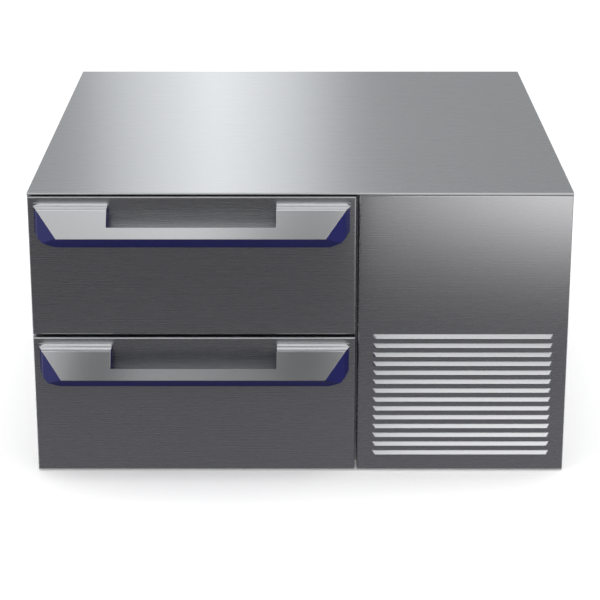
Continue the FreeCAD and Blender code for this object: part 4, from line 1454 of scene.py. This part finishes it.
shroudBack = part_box("condenser_shroud")[1].y
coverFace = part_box("evaporator_cover")[0].y
makeMotor("condenser_fan_motor", shroudBack, shroudBack)
makeMotor("evaporator_fan_motor", coverFace, coverFace + motor["sunk"])
for name, hub in wheel["hubs"].items():
    makeWheel(name, hub)

# a wire guard stands in front of the evaporator fan

guard = {
    "wire": 0.0011,
    "rings": (0.016, 0.030, 0.044, 0.058, 0.0695),
    "spokes": 6,
    "ahead": 0.0150,
    "foot": 0.0735,
    "spokeLift": 1.6,  # wire radii in front of the rings
    "bend": 0.004,
    "sunk": 0.0002,
}


def makeGuard():
    low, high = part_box("evaporator_fan")
    x, z = (low.x + high.x) / 2, (low.z + high.z) / 2
    y = coverFace - guard["ahead"]
    bm = bmesh.new()
    for radius in guard["rings"]:
        path = []
        for step in range(48):
            angle = 2 * math.pi * step / 48
            path.append(Vector((x + radius * math.cos(angle), y, z + radius * math.sin(angle))))
        addTube(bm, path, guard["wire"], 8, closed=True)
    for index in range(guard["spokes"]):
        angle = 2 * math.pi * (index + 0.5) / guard["spokes"]
        out = Vector((math.cos(angle), 0, math.sin(angle)))
        near = y - guard["spokeLift"] * guard["wire"]
        points = [Vector((x, near, z)) + out * guard["rings"][0], Vector((x, near, z)) + out * guard["foot"]]
        points.append(Vector((x, coverFace - guard["sunk"], z)) + out * guard["foot"])
        addTube(bm, roundPath(points, guard["bend"], 5), guard["wire"], 8)
    piece = addObject("evaporator_fan_guard", bm)
    settle(piece)
    install(piece, "cabinet", "zinc", [])


makeGuard()
print("stage: fans")

# coils: close fins on flat tubes between end plates

coil = {
    "pitch": {"condenser_coil": 0.0024, "evaporator_coil": 0.0036},
    "fin": 0.0003,
    "finInset": 0.0008,
    "endPlate": 0.0012,
    "tubes": 3,
    "tubeHeight": 0.005,
    "tubeInset": 0.012,
    "tubeRound": 0.96,
}


def makeCoil(name):
    low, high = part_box(name)
    bm = bmesh.new()
    plate = coil["endPlate"]
    for x in (low.x, high.x - plate):
        addBlock(bm, (x, low.y, low.z), (x + plate, high.y, high.z))
    count = round((high.x - low.x) / coil["pitch"][name])
    for index in range(1, count):
        x = low.x + (high.x - low.x) * index / count
        inset = coil["finInset"]
        addBlock(bm, (x, low.y + inset, low.z), (x + coil["fin"], high.y - inset, high.z))
    half = coil["tubeHeight"] / 2
    for index in range(coil["tubes"]):
        z = low.z + (high.z - low.z) * (index + 0.5) / coil["tubes"]
        y = (low.y + coil["tubeInset"], high.y - coil["tubeInset"])
        section = roundedRect(y, (z - half, z + half), half * coil["tubeRound"], 4)
        addExtruded(bm, section, (low.x, high.x), "X")
    piece = addObject(name + "_fins", bm)
    settle(piece)
    install(piece, "cabinet", "aluminium", [name])


makeCoil("condenser_coil")
makeCoil("evaporator_coil")
print("stage: coils")

# carried-over CAD nodes take their finishes by slot

grain = {
    "side_panel_left": "steelAlongY",
    "side_panel_right": "steelAlongY",
    "liner": "steelAlongY",
}
nodeEdge = 0.0003  # the broken edge of a carried-over piece


def dressNodes():
    for entry in frame["record"]["subparts"]:
        name = entry["node"]
        node = frame["nodes"][name]
        node.data.materials.clear()
        node.data.materials.append(finishes[grain.get(name, entry["material_slot"])])
        for face in node.data.polygons:
            face.material_index = 0
        if not node.hide_render and "soft" not in node.modifiers:
            softenNode(node, nodeEdge)


dressNodes()
print("stage: dressed")
